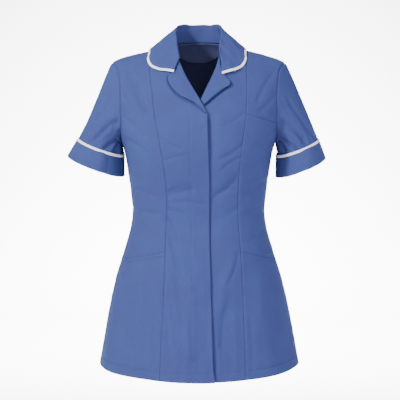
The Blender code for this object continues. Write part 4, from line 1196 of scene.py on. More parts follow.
@dataclass(frozen=True)
class LapelCut:
    """Lines of one lapel from the collar down, as (x, height), and its levels over the front.

    The columns are counted inside the neck, round the turn and out to the free edge. The groove
    holds its distance from the free edge, half width and depth, and the slack two spacings and a
    height.
    """

    name: str
    side: Side
    roll: Table
    seam: Table
    edge: Table
    roll_level: float = 0.0006
    foot_level: float = 0.0023
    edge_level: float = 0.0046
    foot_from: float = 0.55
    foot_over: float = 0.3
    thickness: float = 0.0012
    top: float = 0.0016
    turn: float = 0.0021
    turn_height: float = 0.0021
    turn_share: float = 0.45
    inside: float = 0.011
    inside_share: float = 1.4
    inside_drop: float = 0.0006
    top_run: float = 0.004
    slack: Triple = (0.017, 0.022, 0.0005)
    rows: int = 91
    columns: tuple[int, int, int] = (6, 15, 34)
    crowding: float = 0.6
    groove: Triple = (0.0012, 0.0019, 0.0038)

    def groove_height(self, x: Array, height: Array) -> Array:
        """Sunk line pressed into the front along the lapel's free edge, by the distance to that edge.

        Args:
            x: places across the front.
            height: heights of the same places.

        Returns:
            Height over the form, below zero in the line.
        """
        corners = np.array(self.edge)
        steps = np.diff(corners, axis=0)
        place = np.stack((x, height), axis=-1)[..., None, :] - corners[:-1]
        share = np.clip((place * steps).sum(axis=-1) / (steps**2).sum(axis=-1), 0.0, 1.0)
        away = np.linalg.norm(place - share[..., None] * steps, axis=-1).min(axis=-1)
        off, width, depth = self.groove
        return -depth * bump((away - off) / width)

    def build(self, tunic: "Tunic") -> None:
        """Make the lapel: from inside the neck, round its roll and out to its free edge.

        Args:
            tunic: the whole tunic.
        """
        inner_count, turn_count, top_cells = self.columns
        down = np.linspace(0.0, 1.0, self.rows)[:, None]
        roll, edge = along(self.roll, down[:, 0])[:, None], along(self.edge, down[:, 0])[:, None]
        reach = np.linalg.norm(edge - roll, axis=-1)
        half_turn = np.minimum(self.turn, self.turn_share * reach)
        at_foot = fade((down - self.foot_from) / self.foot_over)
        at_roll = self.roll_level + (self.foot_level - self.roll_level) * at_foot
        angle = np.radians(np.linspace(90.0, 270.0, turn_count))[None, 1:-1]
        run = crowded(top_cells, self.crowding)[None, :]
        depth = np.minimum(self.inside, self.inside_share * reach)
        behind = np.linspace(1.0, 0.0, inner_count)[None, :]
        distance = np.concatenate((half_turn + depth * behind, (half_turn * (1 + np.cos(angle)))[:, ::-1],
                                   half_turn + (reach - half_turn) * run), axis=1)
        share = np.clip(distance / reach, 0.0, 1.0)
        upper = at_roll + (self.edge_level - at_roll) * share + self.top
        start = at_roll + self.top
        centre = start - self.turn_height
        arc = (centre + self.turn_height * np.sin(angle))[:, ::-1]
        under = centre - self.turn_height - self.inside_drop * behind
        level = np.concatenate((under, arc, upper[:, -run.shape[1]:]), axis=1)
        way = (edge - roll) / reach[..., None]
        flat = roll + way * distance[..., None]
        top = along(self.seam, share[0])[None]
        bent = top - (roll[:1] + way[:1] * (share[:1] * reach[:1])[..., None])
        flat = flat + bent * ((1 - down) ** 3)[..., None]
        x, height = flat[..., 0], flat[..., 1]
        if self.side is Side.LEFT:
            level = level - tunic.underlap_drop(x, height)
        from_edge = np.where(distance >= half_turn, reach - distance, 1.0)
        onto_top = fade((distance - half_turn) / self.top_run)
        level = level + EdgeRelief().height(Border.FOLD, from_edge, height, 3)
        wide, tall, slack = self.slack
        level = level + onto_top * slack * noise(x / wide, height / tall, 20 + self.side.value)
        # The way through the wall goes up below, along round the turn and down on top.
        below, turned, on_top = np.zeros(inner_count), angle[0, ::-1], np.zeros(run.shape[1])
        sideways = np.concatenate((below, -np.cos(turned), on_top))
        upward = np.concatenate((below + 1, -np.sin(turned), on_top - 1))
        outer = tunic.at(x, height, Face.FRONT, level)
        flat_in = flat + way * (self.thickness * sideways)[:, None]
        beneath = level + self.thickness * upward
        inner = tunic.at(flat_in[..., 0], flat_in[..., 1], Face.FRONT, beneath)
        worn = np.exp(-np.abs(from_edge) / FOLD_RUB_REACH)
        item = Mesh.shell(f"{self.name}_cloth", outer, inner, (tunic.finishes.cloth,), worn=worn)
        tunic.declare(item, self.name)


@dataclass(frozen=True)
class Collar:
    """Collar with a stand and a fall that turns over a soft roll, edged in white.

    Sections hold the seam's x, height and face and the roll's x, y and z; edges hold how far out
    the edge lies, its height, face and level. Columns are counted up the stand, over the roll, down
    the fall and across the edging. The ripple holds its waves along the neck, spacing and height.
    """

    sections: Table = (
        (0.0, 0.006, 1, 0.0, 0.072, 0.045), (0.029, 0.0048, 1, 0.026, 0.064, 0.045),
        (0.05, 0.0025, 1, 0.042, 0.043, 0.044), (0.06, 0.0005, 1, 0.0478, 0.019, 0.0385),
        (0.0592, -0.0018, -1, 0.049, 0.0, 0.03), (0.055, -0.004, -1, 0.048, -0.014, 0.016),
        (0.0515, -0.007, -1, 0.0462, -0.026, 0.004), (0.048, -0.012, -1, 0.0448, -0.035, -0.006),
    )
    right_end: tuple[float, ...] = (-0.044, -0.02, -1, -0.04, -0.056, -0.027)
    left_end: tuple[float, ...] = (0.0445, -0.018, -1, 0.044, -0.045, -0.014)
    right_edge: Table = (
        (0.0, -0.013, 1, 0.0026), (0.048, -0.015, 1, 0.0026), (0.085, -0.02, 1, 0.0028),
        (0.101, -0.0185, 1, 0.003), (0.1062, -0.02, -1, 0.003), (0.108, -0.0322, -1, 0.0028),
        (0.1005, -0.0462, -1, 0.0028), (0.0825, -0.0545, -1, 0.0038), (0.0523, -0.0595, -1, 0.0052),
    )
    left_edge: Table = (
        (0.0, -0.013, 1, 0.0026), (0.048, -0.015, 1, 0.0026), (0.084, -0.02, 1, 0.0028),
        (0.0975, -0.0185, 1, 0.003), (0.1, -0.02, -1, 0.003), (0.1005, -0.0322, -1, 0.0028),
        (0.0932, -0.0455, -1, 0.0028), (0.077, -0.0555, -1, 0.0044), (0.0492, -0.0635, -1, 0.006),
    )
    thickness: float = 0.0014
    edging: float = 0.005
    edging_thickness: float = 0.0012
    edging_gap: float = 0.0004
    roll_radius: float = 0.0026
    fall_rise: float = 0.0002
    bulge: float = 0.0015
    seam_rise: float = 0.0009
    cells_between: int = 12
    columns: tuple[int, int, int, int] = (9, 13, 29, 7)
    roll_degrees: Pair = (172.0, 14.0)
    ripple: Triple = (1.9, 0.022, 0.001)
    stand_ripple: float = 1.3
    rubbed: float = 0.6
    edging_bulk: tuple[float, ...] = (0.0, 0.0002, 0.0003, 0.0003, 0.0002, 0.0, -0.0004)
    stitch_level: float = 0.0001

    def lines(self, tunic: "Tunic") -> tuple[Array, Array, Array, Array]:
        """Seam, roll, edge and edge level, from the right front end round to the left one.

        Args:
            tunic: the whole tunic.

        Returns:
            Seam, roll, edge and the level of the edge.
        """
        half = np.asarray(self.sections)
        mirrored = half[:0:-1] * (-1, 1, 1, -1, 1, 1)
        table = np.concatenate(([self.right_end], mirrored, half, [self.left_end]))
        edges = np.concatenate((np.asarray(self.right_edge)[:0:-1] * (-1, 1, 1, 1), self.left_edge))
        seam = np.concatenate([tunic.on(row[0], row[1], row[2], 0.0) for row in table])
        seam[:, 2] += self.seam_rise
        edge = np.concatenate([tunic.on(*row) for row in edges])
        at = np.linspace(0, len(table) - 1, (len(table) - 1) * self.cells_between + 1)
        columns = np.column_stack((np.arange(len(table)), seam, table[:, 3:], edge, edges[:, 3]))
        made = np.stack([smooth(columns, 1 + column, at) for column in range(10)], axis=-1)
        lifted = tunic.body.lift_to(made[:, 6:9], made[:, 9], True)
        return made[:, :3], made[:, 3:6], lifted, made[:, 9:]

    def build(self, tunic: "Tunic") -> tuple[Array, Array]:
        """Make the collar and its edging; returns the line of stitches beside the edging.

        Args:
            tunic: the whole tunic.

        Returns:
            Points and ways out of the line of stitches.
        """
        seam, roll, edge, level = self.lines(tunic)
        out = edge - roll
        out[:, 2] = 0.0
        out = unit(out)
        up = np.array((0.0, 0.0, 1.0))
        centre = roll - up * self.roll_radius
        on_stand, on_roll, on_fall, on_edging = self.columns
        angles = np.radians(np.linspace(*self.roll_degrees, on_roll))
        turn = np.cos(angles)[None, :, None] * out[:, None] + np.sin(angles)[None, :, None] * up
        arc = centre[:, None] + self.roll_radius * turn
        rising = np.linspace(0.0, 1.0, on_stand)[None, :-1, None]
        stand = seam[:, None] + (arc[:, :1] - seam[:, None]) * rising
        run = (edge - arc[:, -1])[:, None]
        length = np.linalg.norm(run, axis=-1)
        whole = 1 - (self.edging + self.edging_gap) / length
        fall_shares = whole * np.linspace(0.0, 1.0, on_fall)[None, 1:]
        strip_shares = 1 - self.edging * np.linspace(1.0, 0.0, on_edging)[None, :] / length
        shares = np.concatenate((fall_shares, strip_shares), axis=1)[..., None]
        lines = arc[:, -1:] + run * shares + up * self.bulge * np.sin(np.pi * shares)
        fall = tunic.body.lift_to(lines, level + self.fall_rise, False)
        grid = np.concatenate((stand, arc, fall), axis=1)
        normals = normals_of(grid)
        normals = normals * np.sign(normals[..., 2].mean(axis=0)[-1])
        place = np.arange(len(grid))[:, None] / self.cells_between
        growing = np.linspace(0.0, self.stand_ripple, stand.shape[1])
        over_roll = np.full(arc.shape[1], self.stand_ripple)
        share = np.concatenate((growing, over_roll, np.ones(shares.shape[1])))
        waves, spacing, size = self.ripple
        ripple = size * noise(place * waves + 3, lengths(grid, 1) / spacing, 41) * share
        grid = grid + normals * ripple[..., None]
        count = grid.shape[1] - strip_shares.shape[1]
        shell, strip = grid[:, :count], grid[:, count:]
        inner = shell - normals[:, :count] * self.thickness
        worn = np.zeros(shell.shape[:2])
        worn[:, -4:] = self.rubbed
        fall_cloth = Mesh.shell("collar_cloth", shell, inner, (tunic.finishes.cloth,), worn=worn)
        band = strip + normals[:, count:] * np.array(self.edging_bulk)[None, :, None]
        under = strip - normals[:, count:] * self.edging_thickness
        item = Mesh.shell("collar_edging_band", band, under, (tunic.finishes.edging,))
        tunic.declare(item, "collar_edging")
        tunic.declare(fall_cloth, "collar")
        return shell[:, -3] + normals[:, count - 3] * self.stitch_level, normals[:, count - 3]


@dataclass(frozen=True)
class Sleeve:
    """Short set-in sleeve with a turn-up cuff edged in white.

    Folds run over the sleeve from one place to another; a place is a turn round the sleeve, from
    the shoulder over the front, and a share of the way from armhole to cuff. The unfolded size is
    the length that both measure there. Other groups of three hold a place or a number of waves, a
    width, reach or spacing, and a height.
    """

    name: str
    side: Side
    top: Triple
    foot: Triple
    tilt: float
    seed: int
    folds: Table = (
        (0.16, 0.95, 0.3, 0.25, 0.006, -0.0018), (0.26, 1.0, 0.38, 0.45, 0.005, -0.0016),
        (0.36, 0.95, 0.44, 0.3, 0.005, -0.0016), (0.08, 0.9, 0.14, 0.4, 0.007, -0.0012),
        (0.21, 0.85, 0.27, 0.5, 0.005, 0.001), (0.95, 0.92, 0.9, 0.35, 0.006, -0.0013),
        (0.84, 0.95, 0.74, 0.28, 0.006, -0.0017), (0.72, 1.0, 0.62, 0.4, 0.0055, -0.0016),
        (0.63, 0.95, 0.56, 0.35, 0.005, -0.0014),
    )
    half_depth: float = 0.052
    depth_growth: float = 1.1
    front_dip: float = 0.0045
    under_cuff: float = 0.0022
    gap: float = 0.0004
    foot_share: float = 0.94
    start_pull: Pair = (0.012, 0.021)
    end_pull: float = 0.75
    edging: float = 0.005
    cuff_thickness: float = 0.0016
    edging_thickness: float = 0.0012
    gather: float = 0.0026
    strength: float = 3.0
    tuck: Triple = (0.375, 0.045, 0.0065)
    tuck_swell: Triple = (2.2, 0.6, 0.3)
    seam_dip: float = 0.0025
    seam_reach: float = 0.005
    head_ease: Triple = (34, 0.008, 0.0004)
    unfolded: Pair = (0.36, 0.09)
    fold_shift: float = 0.015
    end_share: float = 0.3
    gathers: int = 44
    gather_reach: Pair = (0.2, 0.05)
    slack: float = 0.0006
    cells: tuple[int, int] = (60, 7)
    crowding: float = 0.7
    cuff_cells: tuple[int, int, int] = (180, 22, 7)
    cuff_crowding: float = 0.6
    cuff_gap: float = 0.0003
    cuff_stitch: Triple = (0.008, 0.0011, 0.0003)
    cuff_slack: Triple = (21, 0.03, 0.00045)
    edging_bulk: tuple[float, ...] = (-0.0004, 0.0, 0.0003, 0.0003, 0.0003, 0.0001, -0.0001)

    def armhole(self, tunic: "Tunic") -> tuple[Array, Array, Array]:
        """Points round the armhole from the shoulder down the front, way out of the cloth, way on.

        Args:
            tunic: the whole tunic.

        Returns:
            Points, ways out of the hole and ways along the sleeve.
        """
        body = tunic.body
        rows = np.concatenate((np.arange(body.underarm_row, body.breast_row, 0.2),
                               np.linspace(body.breast_row, body.shoulder_row, 51)))
        points, normals = [], []
        for face in (Face.FRONT, Face.BACK):
            x = np.full_like(rows, body.armhole[0][1])
            for _ in range(SETTLING_ROUNDS):
                x = body.armhole_out(body.row_height(self.side.value * x, rows, face), face)
            x = self.side.value * x
            height = body.row_height(x, rows, face)
            order = slice(None, None, -1) if face is Face.FRONT else slice(1, -1)
            points.append(tunic.at(x, height, face, 0.0)[order])
            normals.append(body.way_out(x, height, face)[order])
        ring, normal = np.concatenate(points), np.concatenate(normals)
        way = unit(np.cross(np.roll(ring, -1, axis=0) - np.roll(ring, 1, axis=0), normal))
        return ring, normal, way * np.sign(((ring.mean(axis=0) - ring) * way).sum())

    def ring(self, angle: Array, share: float, less: float = 0.0) -> Array:
        """Ring round the cuff at a share from its top to its foot, drawn in by an amount.

        Args:
            angle: angles round the cuff.
            share: shares from the top of the cuff to its foot.
            less: how far the ring is drawn in.

        Returns:
            Points of the ring.
        """
        half = self.top[2] + (self.foot[2] - self.top[2]) * share - less
        depth = self.half_depth * (1 + (self.depth_growth - 1) * share) - less
        out = self.top[0] + (self.foot[0] - self.top[0]) * share
        middle = np.array((self.side.value * out, 0.0, self.top[1] + (self.foot[1] - self.top[1]) * share))
        tilt = np.radians(self.tilt)
        wide = np.array((self.side.value * np.cos(tilt), 0.0, np.sin(tilt))) * half
        deep = np.array((0.0, -depth, -self.front_dip))
        return middle + np.cos(angle)[:, None] * wide + np.sin(angle)[:, None] * deep

    def angles(self, ring: Array) -> Array:
        """Turn of each point round the cuff, shared out by the armhole's length front and back.

        Args:
            ring: grid or ring of points.

        Returns:
            Angle of each point.
        """
        steps = np.linalg.norm(np.roll(ring, -1, axis=0) - ring, axis=1)
        half = (len(ring)) // 2
        front = np.concatenate(([0.0], np.cumsum(steps[:half]))) / steps[:half].sum()
        rear = np.cumsum(steps[half:])[:-1] / steps[half:].sum()
        return np.pi * np.concatenate((front, 1 + rear))

    def build(self, tunic: "Tunic") -> list[Path]:
        """Make sleeve, cuff and edging; returns the lines of stitches round the cuff.

        Args:
            tunic: the whole tunic.

        Returns:
            Points and ways out of each line of stitches.
        """
        ring, normal, way = self.armhole(tunic)
        angle = self.angles(ring)
        start = ring + way * self.gap
        end = self.ring(angle, 0.0, self.under_cuff)
        foot = self.ring(angle, self.foot_share, self.under_cuff)
        reach = np.linalg.norm(end - start, axis=1, keepdims=True)
        pull = np.clip(reach, *self.start_pull)
        down = unit(foot - end)
        share = crowded(self.cells[0], self.crowding)
        part = share[:, None, None]
        sheet = start * (1 - fade(part)) + end * fade(part)
        leaving = part * (1 - part) ** 2 * pull * way
        arriving = part**2 * (1 - part) * reach * self.end_pull * down
        sheet = sheet + leaving - arriving
        tail = end + (foot - end) * np.linspace(0.0, 1.0, self.cells[1])[1:, None, None]
        sheet = np.concatenate((sheet, tail))
        share = np.concatenate((share, np.ones(len(tail))))[:, None]
        normals = normals_of(sheet, True)
        normals = normals * np.sign(((sheet - sheet.mean(axis=1, keepdims=True)) * normals).sum())
        normals[0] = normal
        level = self.relief(sheet, share, angle / (2 * np.pi))
        outer = sheet + normals * level[..., None]
        inner = outer - normals * CLOTH
        finishes = (tunic.finishes.cloth, tunic.finishes.reverse)
        worn = np.exp(-lengths(sheet, 0) / SEAM_RUB_REACH)
        item = Mesh.shell(f"sleeve_{self.name}_cloth", outer, inner, finishes, True, worn)
        tunic.declare(item, f"sleeve_{self.name}")
        return self.cuff(tunic)

    def relief(self, sheet: Array, share: Array, turn: Array) -> Array:
        """Seam, folds, gathers above the cuff and ease at the head, as heights over the sheet.

        Args:
            sheet: grid of the sleeve without relief.
            share: shares from the top to the foot.
            turn: shares of a turn round the sleeve.

        Returns:
            Height at each point.
        """
        down = lengths(sheet, 0)
        around = turn * np.ones_like(share)
        total = -self.seam_dip * (1 - fade(down / self.seam_reach))
        waves, reach, size = self.head_ease
        total += size * noise(around * waves, share * 0 + 1.5, self.seed) * np.exp(-down / reach)
        wide, tall = self.unfolded
        for turn1, share1, turn2, share2, width, size in self.folds:
            shift = self.fold_shift * np.sin(self.seed + 9 * turn1)
            steps = ((turn2 - turn1) * wide, (share2 - share1) * tall)
            length = np.hypot(*steps)
            away = (around - turn1 - shift) * wide
            from_end = (share - share1) * tall
            on = (away * steps[0] + from_end * steps[1]) / length**2
            side = (away * steps[1] - from_end * steps[0]) / length
            ends = fade(on / self.end_share + 0.5) * fade((1 - on) / self.end_share + 0.5)
            total += self.strength * size * bump(side / width) * ends
        reach, start = self.gather_reach
        near_cuff = np.exp(-(1 - share) / reach) * fade((1 - share) / start + 0.25)
        pleats = noise(around * self.gathers, share * 1.3, self.seed + 3)
        total += self.gather * near_cuff * pleats
        clear = fade(share * 4) * fade((1 - share) * 5)
        total += self.slack * noise(around * 9, share * 2 + 4, self.seed + 5) * clear
        return total

    def cuff(self, tunic: "Tunic") -> list[Path]:
        """Make the cuff and the white edging round its top.

        Args:
            tunic: the whole tunic.

        Returns:
            Points and ways out of the line of stitches.
        """
        around, cells, band_rows = self.cuff_cells
        angle = np.linspace(0.0, 2 * np.pi, around + 1)[:-1]
        depth = float(np.linalg.norm(np.subtract(self.foot[:2], self.top[:2])))
        low = (self.edging + self.cuff_gap) / depth
        shares = low + (1 - low) * crowded(cells, self.cuff_crowding)
        outer = np.stack([self.ring(angle, share) for share in shares])
        inner = np.stack([self.ring(angle, share, self.cuff_thickness) for share in shares])
        out = unit(outer - inner)
        run = (1 - shares)[:, None] * depth + np.zeros(len(angle))
        turn = angle / (2 * np.pi) * np.ones((len(shares), 1))
        level = EdgeRelief().height(Border.FOLD, run, turn, 5)
        stitch, width, dent = self.cuff_stitch
        level -= dent * bump((run - stitch) / width)
        waves, spacing, size = self.cuff_slack
        level += size * noise(turn * waves, run / spacing, self.seed + 8)
        place, width, fall = self.tuck
        before, narrower, share = self.tuck_swell
        level += share * fall * bump((turn - place + before * width) / (narrower * width))
        level -= fall * bump((turn - place) / width)
        outer = outer + out * level[..., None]
        worn = np.exp(-run / FOLD_RUB_REACH)
        turn_up = Mesh.shell(f"cuff_{self.name}_cloth", outer, inner, (tunic.finishes.cloth,), True, worn)
        shares = np.linspace(0.0, self.edging / depth, band_rows)
        band = np.stack([self.ring(angle, share) for share in shares])
        under = np.stack([self.ring(angle, share, self.edging_thickness) for share in shares])
        band = band + unit(band - under) * np.array(self.edging_bulk)[:, None, None]
        item = Mesh.shell(f"cuff_edging_{self.name}_band", band, under, (tunic.finishes.edging,), True)
        tunic.declare(item, f"cuff_edging_{self.name}")
        tunic.declare(turn_up, f"cuff_{self.name}")
        row = int(np.argmin(np.abs(run[:, 0] - stitch)))
        closed = np.concatenate((np.arange(len(angle)), [0]))
        return [(outer[row][closed], out[row][closed])]


@dataclass(frozen=True)
class FlyRelief:
    """Sizes of the relief round the covered fly.

    The pulls hold two spacings, down and across, a reach and a height; the slacks two spacings,
    across and down, and a height; the other pairs a width or reach and a height. The insets' pairs
    hold two lengths.
    """

    step_run: float = 0.0036
    stitch_dent: Pair = (0.0012, 0.0004)
    pull: Table = ((0.01, 0.05, 0.008, 0.0006), (0.011, 0.03, 0.02, 0.0009))
    low_from: float = -0.42
    low_run: float = 0.1
    loose_edge: Pair = (0.01, 0.0026)
    loose_from: float = -0.52
    loose_run: float = 0.12
    slack: Triple = (0.016, 0.024, 0.0005)
    under_slack: Triple = (0.015, 0.03, 0.0006)
    under_slack_from: float = -0.4
    break_run: float = 0.03
    hollow_off: float = 0.006
    hollow: Pair = (0.01, 0.0046)
    hollow_until: float = -0.27
    hollow_run: float = 0.1
    edge_top: float = -0.135
    edge_run: float = 0.02
    pressed: Pair = (0.0022, 0.0026)
    under_gap: float = 0.0004
    inset: float = 0.0026
    inset_from: Pair = (0.02, 0.015)
    inset_top: float = -0.045
    layer_inset: Pair = (0.001, 0.0016)
    layer_level: float = 0.0001
    layer_thickness: float = 0.001
    stitch_foot: float = -0.694
    stitch_top: float = 0.004
    stitch_level: float = 0.0004


@dataclass(frozen=True)
class NeckFacing:
    """Facing inside the back of the neck: the rows it reaches down to, its cells and its level."""

    side_row: float = 28.3
    middle_row: float = 25.3
    curve: float = 2.5
    cells: tuple[int, int] = (60, 24)
    drop: float = 0.0009
    slack: Pair = (0.02, 0.0002)


@dataclass(frozen=True)
class Dart:
    """Sewn dart of the back: where it runs, its dip's width and depth, its pull's spacing, reach
    and height."""

    out_low: float = 0.062
    out_more: float = 0.02
    bend_from: float = -0.36
    bend_run: float = 0.2
    foot: float = -0.5
    head: float = -0.215
    end_run: float = 0.03
    dip: Pair = (0.0026, 0.0026)
    pull: Triple = (0.012, 0.01, 0.001)


class Tunic:
    def __init__(self) -> None:
        """Take the form, the folds, the finishes and the lapels' lines."""
        self.body = BodyForm()
        self.drape = Drape()
        self.fly = FlyRelief()
        self.dart = Dart()
        self.finishes = Finishes.make()
        self.underlap = 0.0021
        self.underlap_fade = 0.03
        self.lap_level = 0.0015
        self.recess = 0.0018
        self.narrowest = 0.0105
        self.stitches: list[Path] = []
        right = LapelCut(
            "lapel_right", Side.RIGHT,
            roll=((-0.0402, -0.034), (-0.0268, -0.0634), (-0.0135, -0.0859), (0.002, -0.1114),
                  (0.0165, -0.1375)),
            seam=((-0.0402, -0.034), (-0.0515, -0.0622), (-0.0614, -0.0668)),
            edge=((-0.0614, -0.0668), (-0.0623, -0.0737), (-0.0578, -0.0839), (-0.0465, -0.0982),
                  (-0.0308, -0.1092), (-0.0155, -0.1164), (0.0009, -0.1266), (0.0112, -0.1355),
                  (0.0155, -0.1395)))
        left = LapelCut(
            "lapel_left", Side.LEFT,
            roll=((0.0434, -0.0215), (0.0401, -0.0344), (0.0314, -0.0572), (0.0174, -0.0859),
                  (0.0048, -0.1115)),
            seam=((0.0434, -0.0215), (0.048, -0.062), (0.052, -0.069)),
            edge=((0.052, -0.069), (0.064, -0.0785), (0.0647, -0.0808), (0.046, -0.0955),
                  (0.028, -0.1096), (0.011, -0.124)))
        self.lapels = (right, left)

    def at(self, x: Array, height: Array, face: Face, level: Array | float) -> Array:
        """Points on the draped form, moved straight out by a level.

        Args:
            x: places across.
            height: heights.
            face: front or back.
            level: height over the draped form.

        Returns:
            The points.
        """
        x, height = np.broadcast_arrays(np.asarray(x, float), np.asarray(height, float))
        out = self.drape.height(self.body, x, height, face) + level
        points = np.stack((x, self.body.surface_y(x, height, face), height), axis=-1)
        return points + self.body.way_out(x, height, face) * out[..., None]

    def on(self, x: float, height: float, face: float, level: float) -> Array:
        """One point on the draped form, as a row."""
        which = Face.FRONT if face < 0 else Face.BACK
        return self.at(np.array([x]), np.array([height]), which, level)

    def underlap_drop(self, x: Array, height: Array) -> Array:
        """How far the left front lies lower where it is lapped over."""
        return self.underlap * (1 - fade((x - self.body.over_edge_x(height)) / self.underlap_fade))

    def declare(self, item: bpy.types.Object, name: str) -> None:
        """Hide the solid that a piece replaces, and tie the piece to its body.

        Args:
            item: the object.
            name: node of the solid that it replaces.
        """
        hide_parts(name)
        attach(item, BODY)

    @staticmethod
    def slot_of(name: str) -> str:
        """Material slot of a piece, by its name."""
        plain = "edging_cloth" if "edging" in name else "tunic_cloth"
        return {"back_neck_facing": "facing_cloth"}.get(name, plain)

    def line(self, x: Array, height: Array, face: Face, level: Array | float) -> None:
        """Add a line of stitches on the draped form."""
        self.stitches.append((self.at(x, height, face, level), self.body.way_out(x, height, face)))

    def level_front_right(self, x: Array, height: Array, row: Array) -> Array:
        """Right centre front: it steps up at the stitched line onto the covered placket.

        Args:
            x: places across.
            height: heights.
            row: not used.

        Returns:
            Height over the form.
        """
        fly, body = self.fly, self.body
        past = x - body.stitch_x(height)
        onto = fade(past / fly.step_run + 0.3)
        total = self.lap_level * onto - fly.stitch_dent[1] * bump(past / fly.stitch_dent[0])
        away = np.abs(past)
        low = fade((fly.low_from - height) / fly.low_run)
        for number, (tall, wide, reach, size) in enumerate(fly.pull):
            pull = noise(height / tall, x / wide, 77 + number) * np.exp(-away / reach)
            total += size * (low if number else 1.0) * pull
        near_edge = np.exp(-(body.over_edge_x(height) - x) / fly.loose_edge[0])
        total += fly.loose_edge[1] * near_edge * fade((fly.loose_from - height) / fly.loose_run)
        wide, tall, size = fly.slack
        total += size * noise(x / wide, height / tall, 71) * onto
        below_break = fade((body.break_height + fly.break_run - height) / fly.break_run)
        return total * below_break + sum(lapel.groove_height(x, height) for lapel in self.lapels)

    def level_front_left(self, x: Array, height: Array, row: Array) -> Array:
        """Left centre front: it lies lower under the placket, with a hollow beside its edge.

        Args:
            x: places across.
            height: heights.
            row: not used.

        Returns:
            Height over the form.
        """
        fly = self.fly
        past = x - self.body.over_edge_x(height)
        lower = fade((fly.edge_top - height) / fly.edge_run)
        beside = bump((past - fly.hollow_off) / fly.hollow[0])
        hollow = fly.hollow[1] * beside * lower * fade((height - fly.hollow_until) / fly.hollow_run)
        pressed = fly.pressed[1] * bump(past / fly.pressed[0]) * lower
        wide, tall, size = fly.under_slack
        slack = noise(x / wide, height / tall, 73) * fade((fly.under_slack_from - height) / fly.low_run)
        sunk = self.lapels[1].groove_height(x, height)
        drop = self.underlap_drop(x, height) + fly.under_gap
        return size * slack + sunk - drop - hollow - pressed

    def front_centres(self) -> None:
        """Both centre fronts and the under layer of the placket."""
        body, fly = self.body, self.fly
        hip, underarm, chest, shoulder = body.stops
        rows = rows_between((0, hip, 130), (hip, underarm, 112), (underarm, chest, 32),
                            (chest, shoulder, 72))

        def inset(z: Array) -> Array:
            """How far the free edges stop short of the lapels' rolls."""
            start, end = fly.inset_from
            return fly.inset * fade((z - body.break_height) / start) * (1 - fade((z - fly.inset_top) / end))

        over = lambda z: body.over_edge_x(z) - inset(z)
        under = lambda z: body.under_edge_x(z) + inset(z)
        right = lambda z: body.princess_x(z, Side.RIGHT) + HALF_GAP
        left = lambda z: body.princess_x(z, Side.LEFT) - HALF_GAP
        shares = crowded(58, 0.45)
        Panel("front_centre_right", Face.FRONT, rows, shares, (right, over),
              (Border.SEAM, Border.FOLD, Border.HEM, Border.SEAM), self.level_front_right, False,
              seed=100).build(self)
        Panel("front_centre_left", Face.FRONT, rows, shares, (under, left),
              (Border.FOLD, Border.SEAM, Border.HEM, Border.SEAM), self.level_front_left, False,
              seed=200).build(self)
        inner = lambda z: body.stitch_x(z) - fly.layer_inset[0]
        outer = lambda z: body.over_edge_x(z) - fly.layer_inset[1]
        Panel("fly_placket", Face.FRONT, rows_between((0, 19, 120)), np.linspace(0, 1, 9), (inner, outer),
              (Border.PLAIN,) * 4, lambda x, z, row: 0.0 * x + fly.layer_level, False,
              fly.layer_thickness, 300).build(self)
        height = np.linspace(fly.stitch_foot, body.break_height - fly.stitch_top, 300)
        self.line(body.stitch_x(height), height, Face.FRONT, fly.stitch_level)

    def side_panels(self) -> None:
        """Side fronts, the hip pockets over them and the yoke behind the breast pocket."""
        body = self.body
        hip, underarm, chest, shoulder = body.stops
        plain_foot = (Border.SEAM, Border.SEAM, Border.PLAIN)
        waist = ((3, 7.8, 12), (7.8, 8.4, 8), (8.4, underarm, 100))
        whole = rows_between(*waist, (underarm, chest, 32), (chest, shoulder, 72))
        lower = rows_between(*waist, (underarm, chest, 36))
        yoke = rows_between((14, 19.8, 12), (19.8, 20.3, 8), (20.3, shoulder, 72))
        pocket = rows_between((0, hip, 130))
        shares = crowded(46, 0.55)
        behind = lambda mouth: (lambda x, z, row: -self.recess * (1 - fade((row - mouth) / 0.25)))
        flat = lambda x, z, row: 0.0 * x
        pocket_borders = (Border.SEAM, Border.SEAM, Border.HEM, Border.MOUTH)
        cuts = (
            ("side_front_right", Side.RIGHT, whole, behind(hip), (*plain_foot, Border.SEAM)),
            ("side_front_left", Side.LEFT, lower, behind(hip), (*plain_foot, Border.MOUTH)),
            ("upper_side_front_left", Side.LEFT, yoke, behind(chest), (*plain_foot, Border.SEAM)),
            ("hip_pocket_right", Side.RIGHT, pocket, flat, pocket_borders),
            ("hip_pocket_left", Side.LEFT, pocket, flat, pocket_borders),
        )
        for number, (name, side, rows, level, borders) in enumerate(cuts):
            inner = lambda z, side=side: body.princess_x(z, side) + side.value * HALF_GAP
            outer = lambda z, side=side: side.value * body.armhole_out(z, Face.FRONT)
            seed = 400 + 100 * number
            Panel(name, Face.FRONT, rows, shares, (inner, outer), borders, level, seed=seed).build(self)
        for side in Side:
            share = np.linspace(0.03, 0.97, 80)
            for ends in (body.hip_mouth, body.breast_mouth)[:1 + (side is Side.LEFT)]:
                first = body.princess_x(ends[0], side)
                x = first + (side.value * body.armhole_out(ends[1], Face.FRONT) - first) * share
                height = body.mouth_height(x, ends, Face.FRONT) - EdgeRelief().mouth_stitch
                self.line(x, height, Face.FRONT, STITCH_LEVEL)

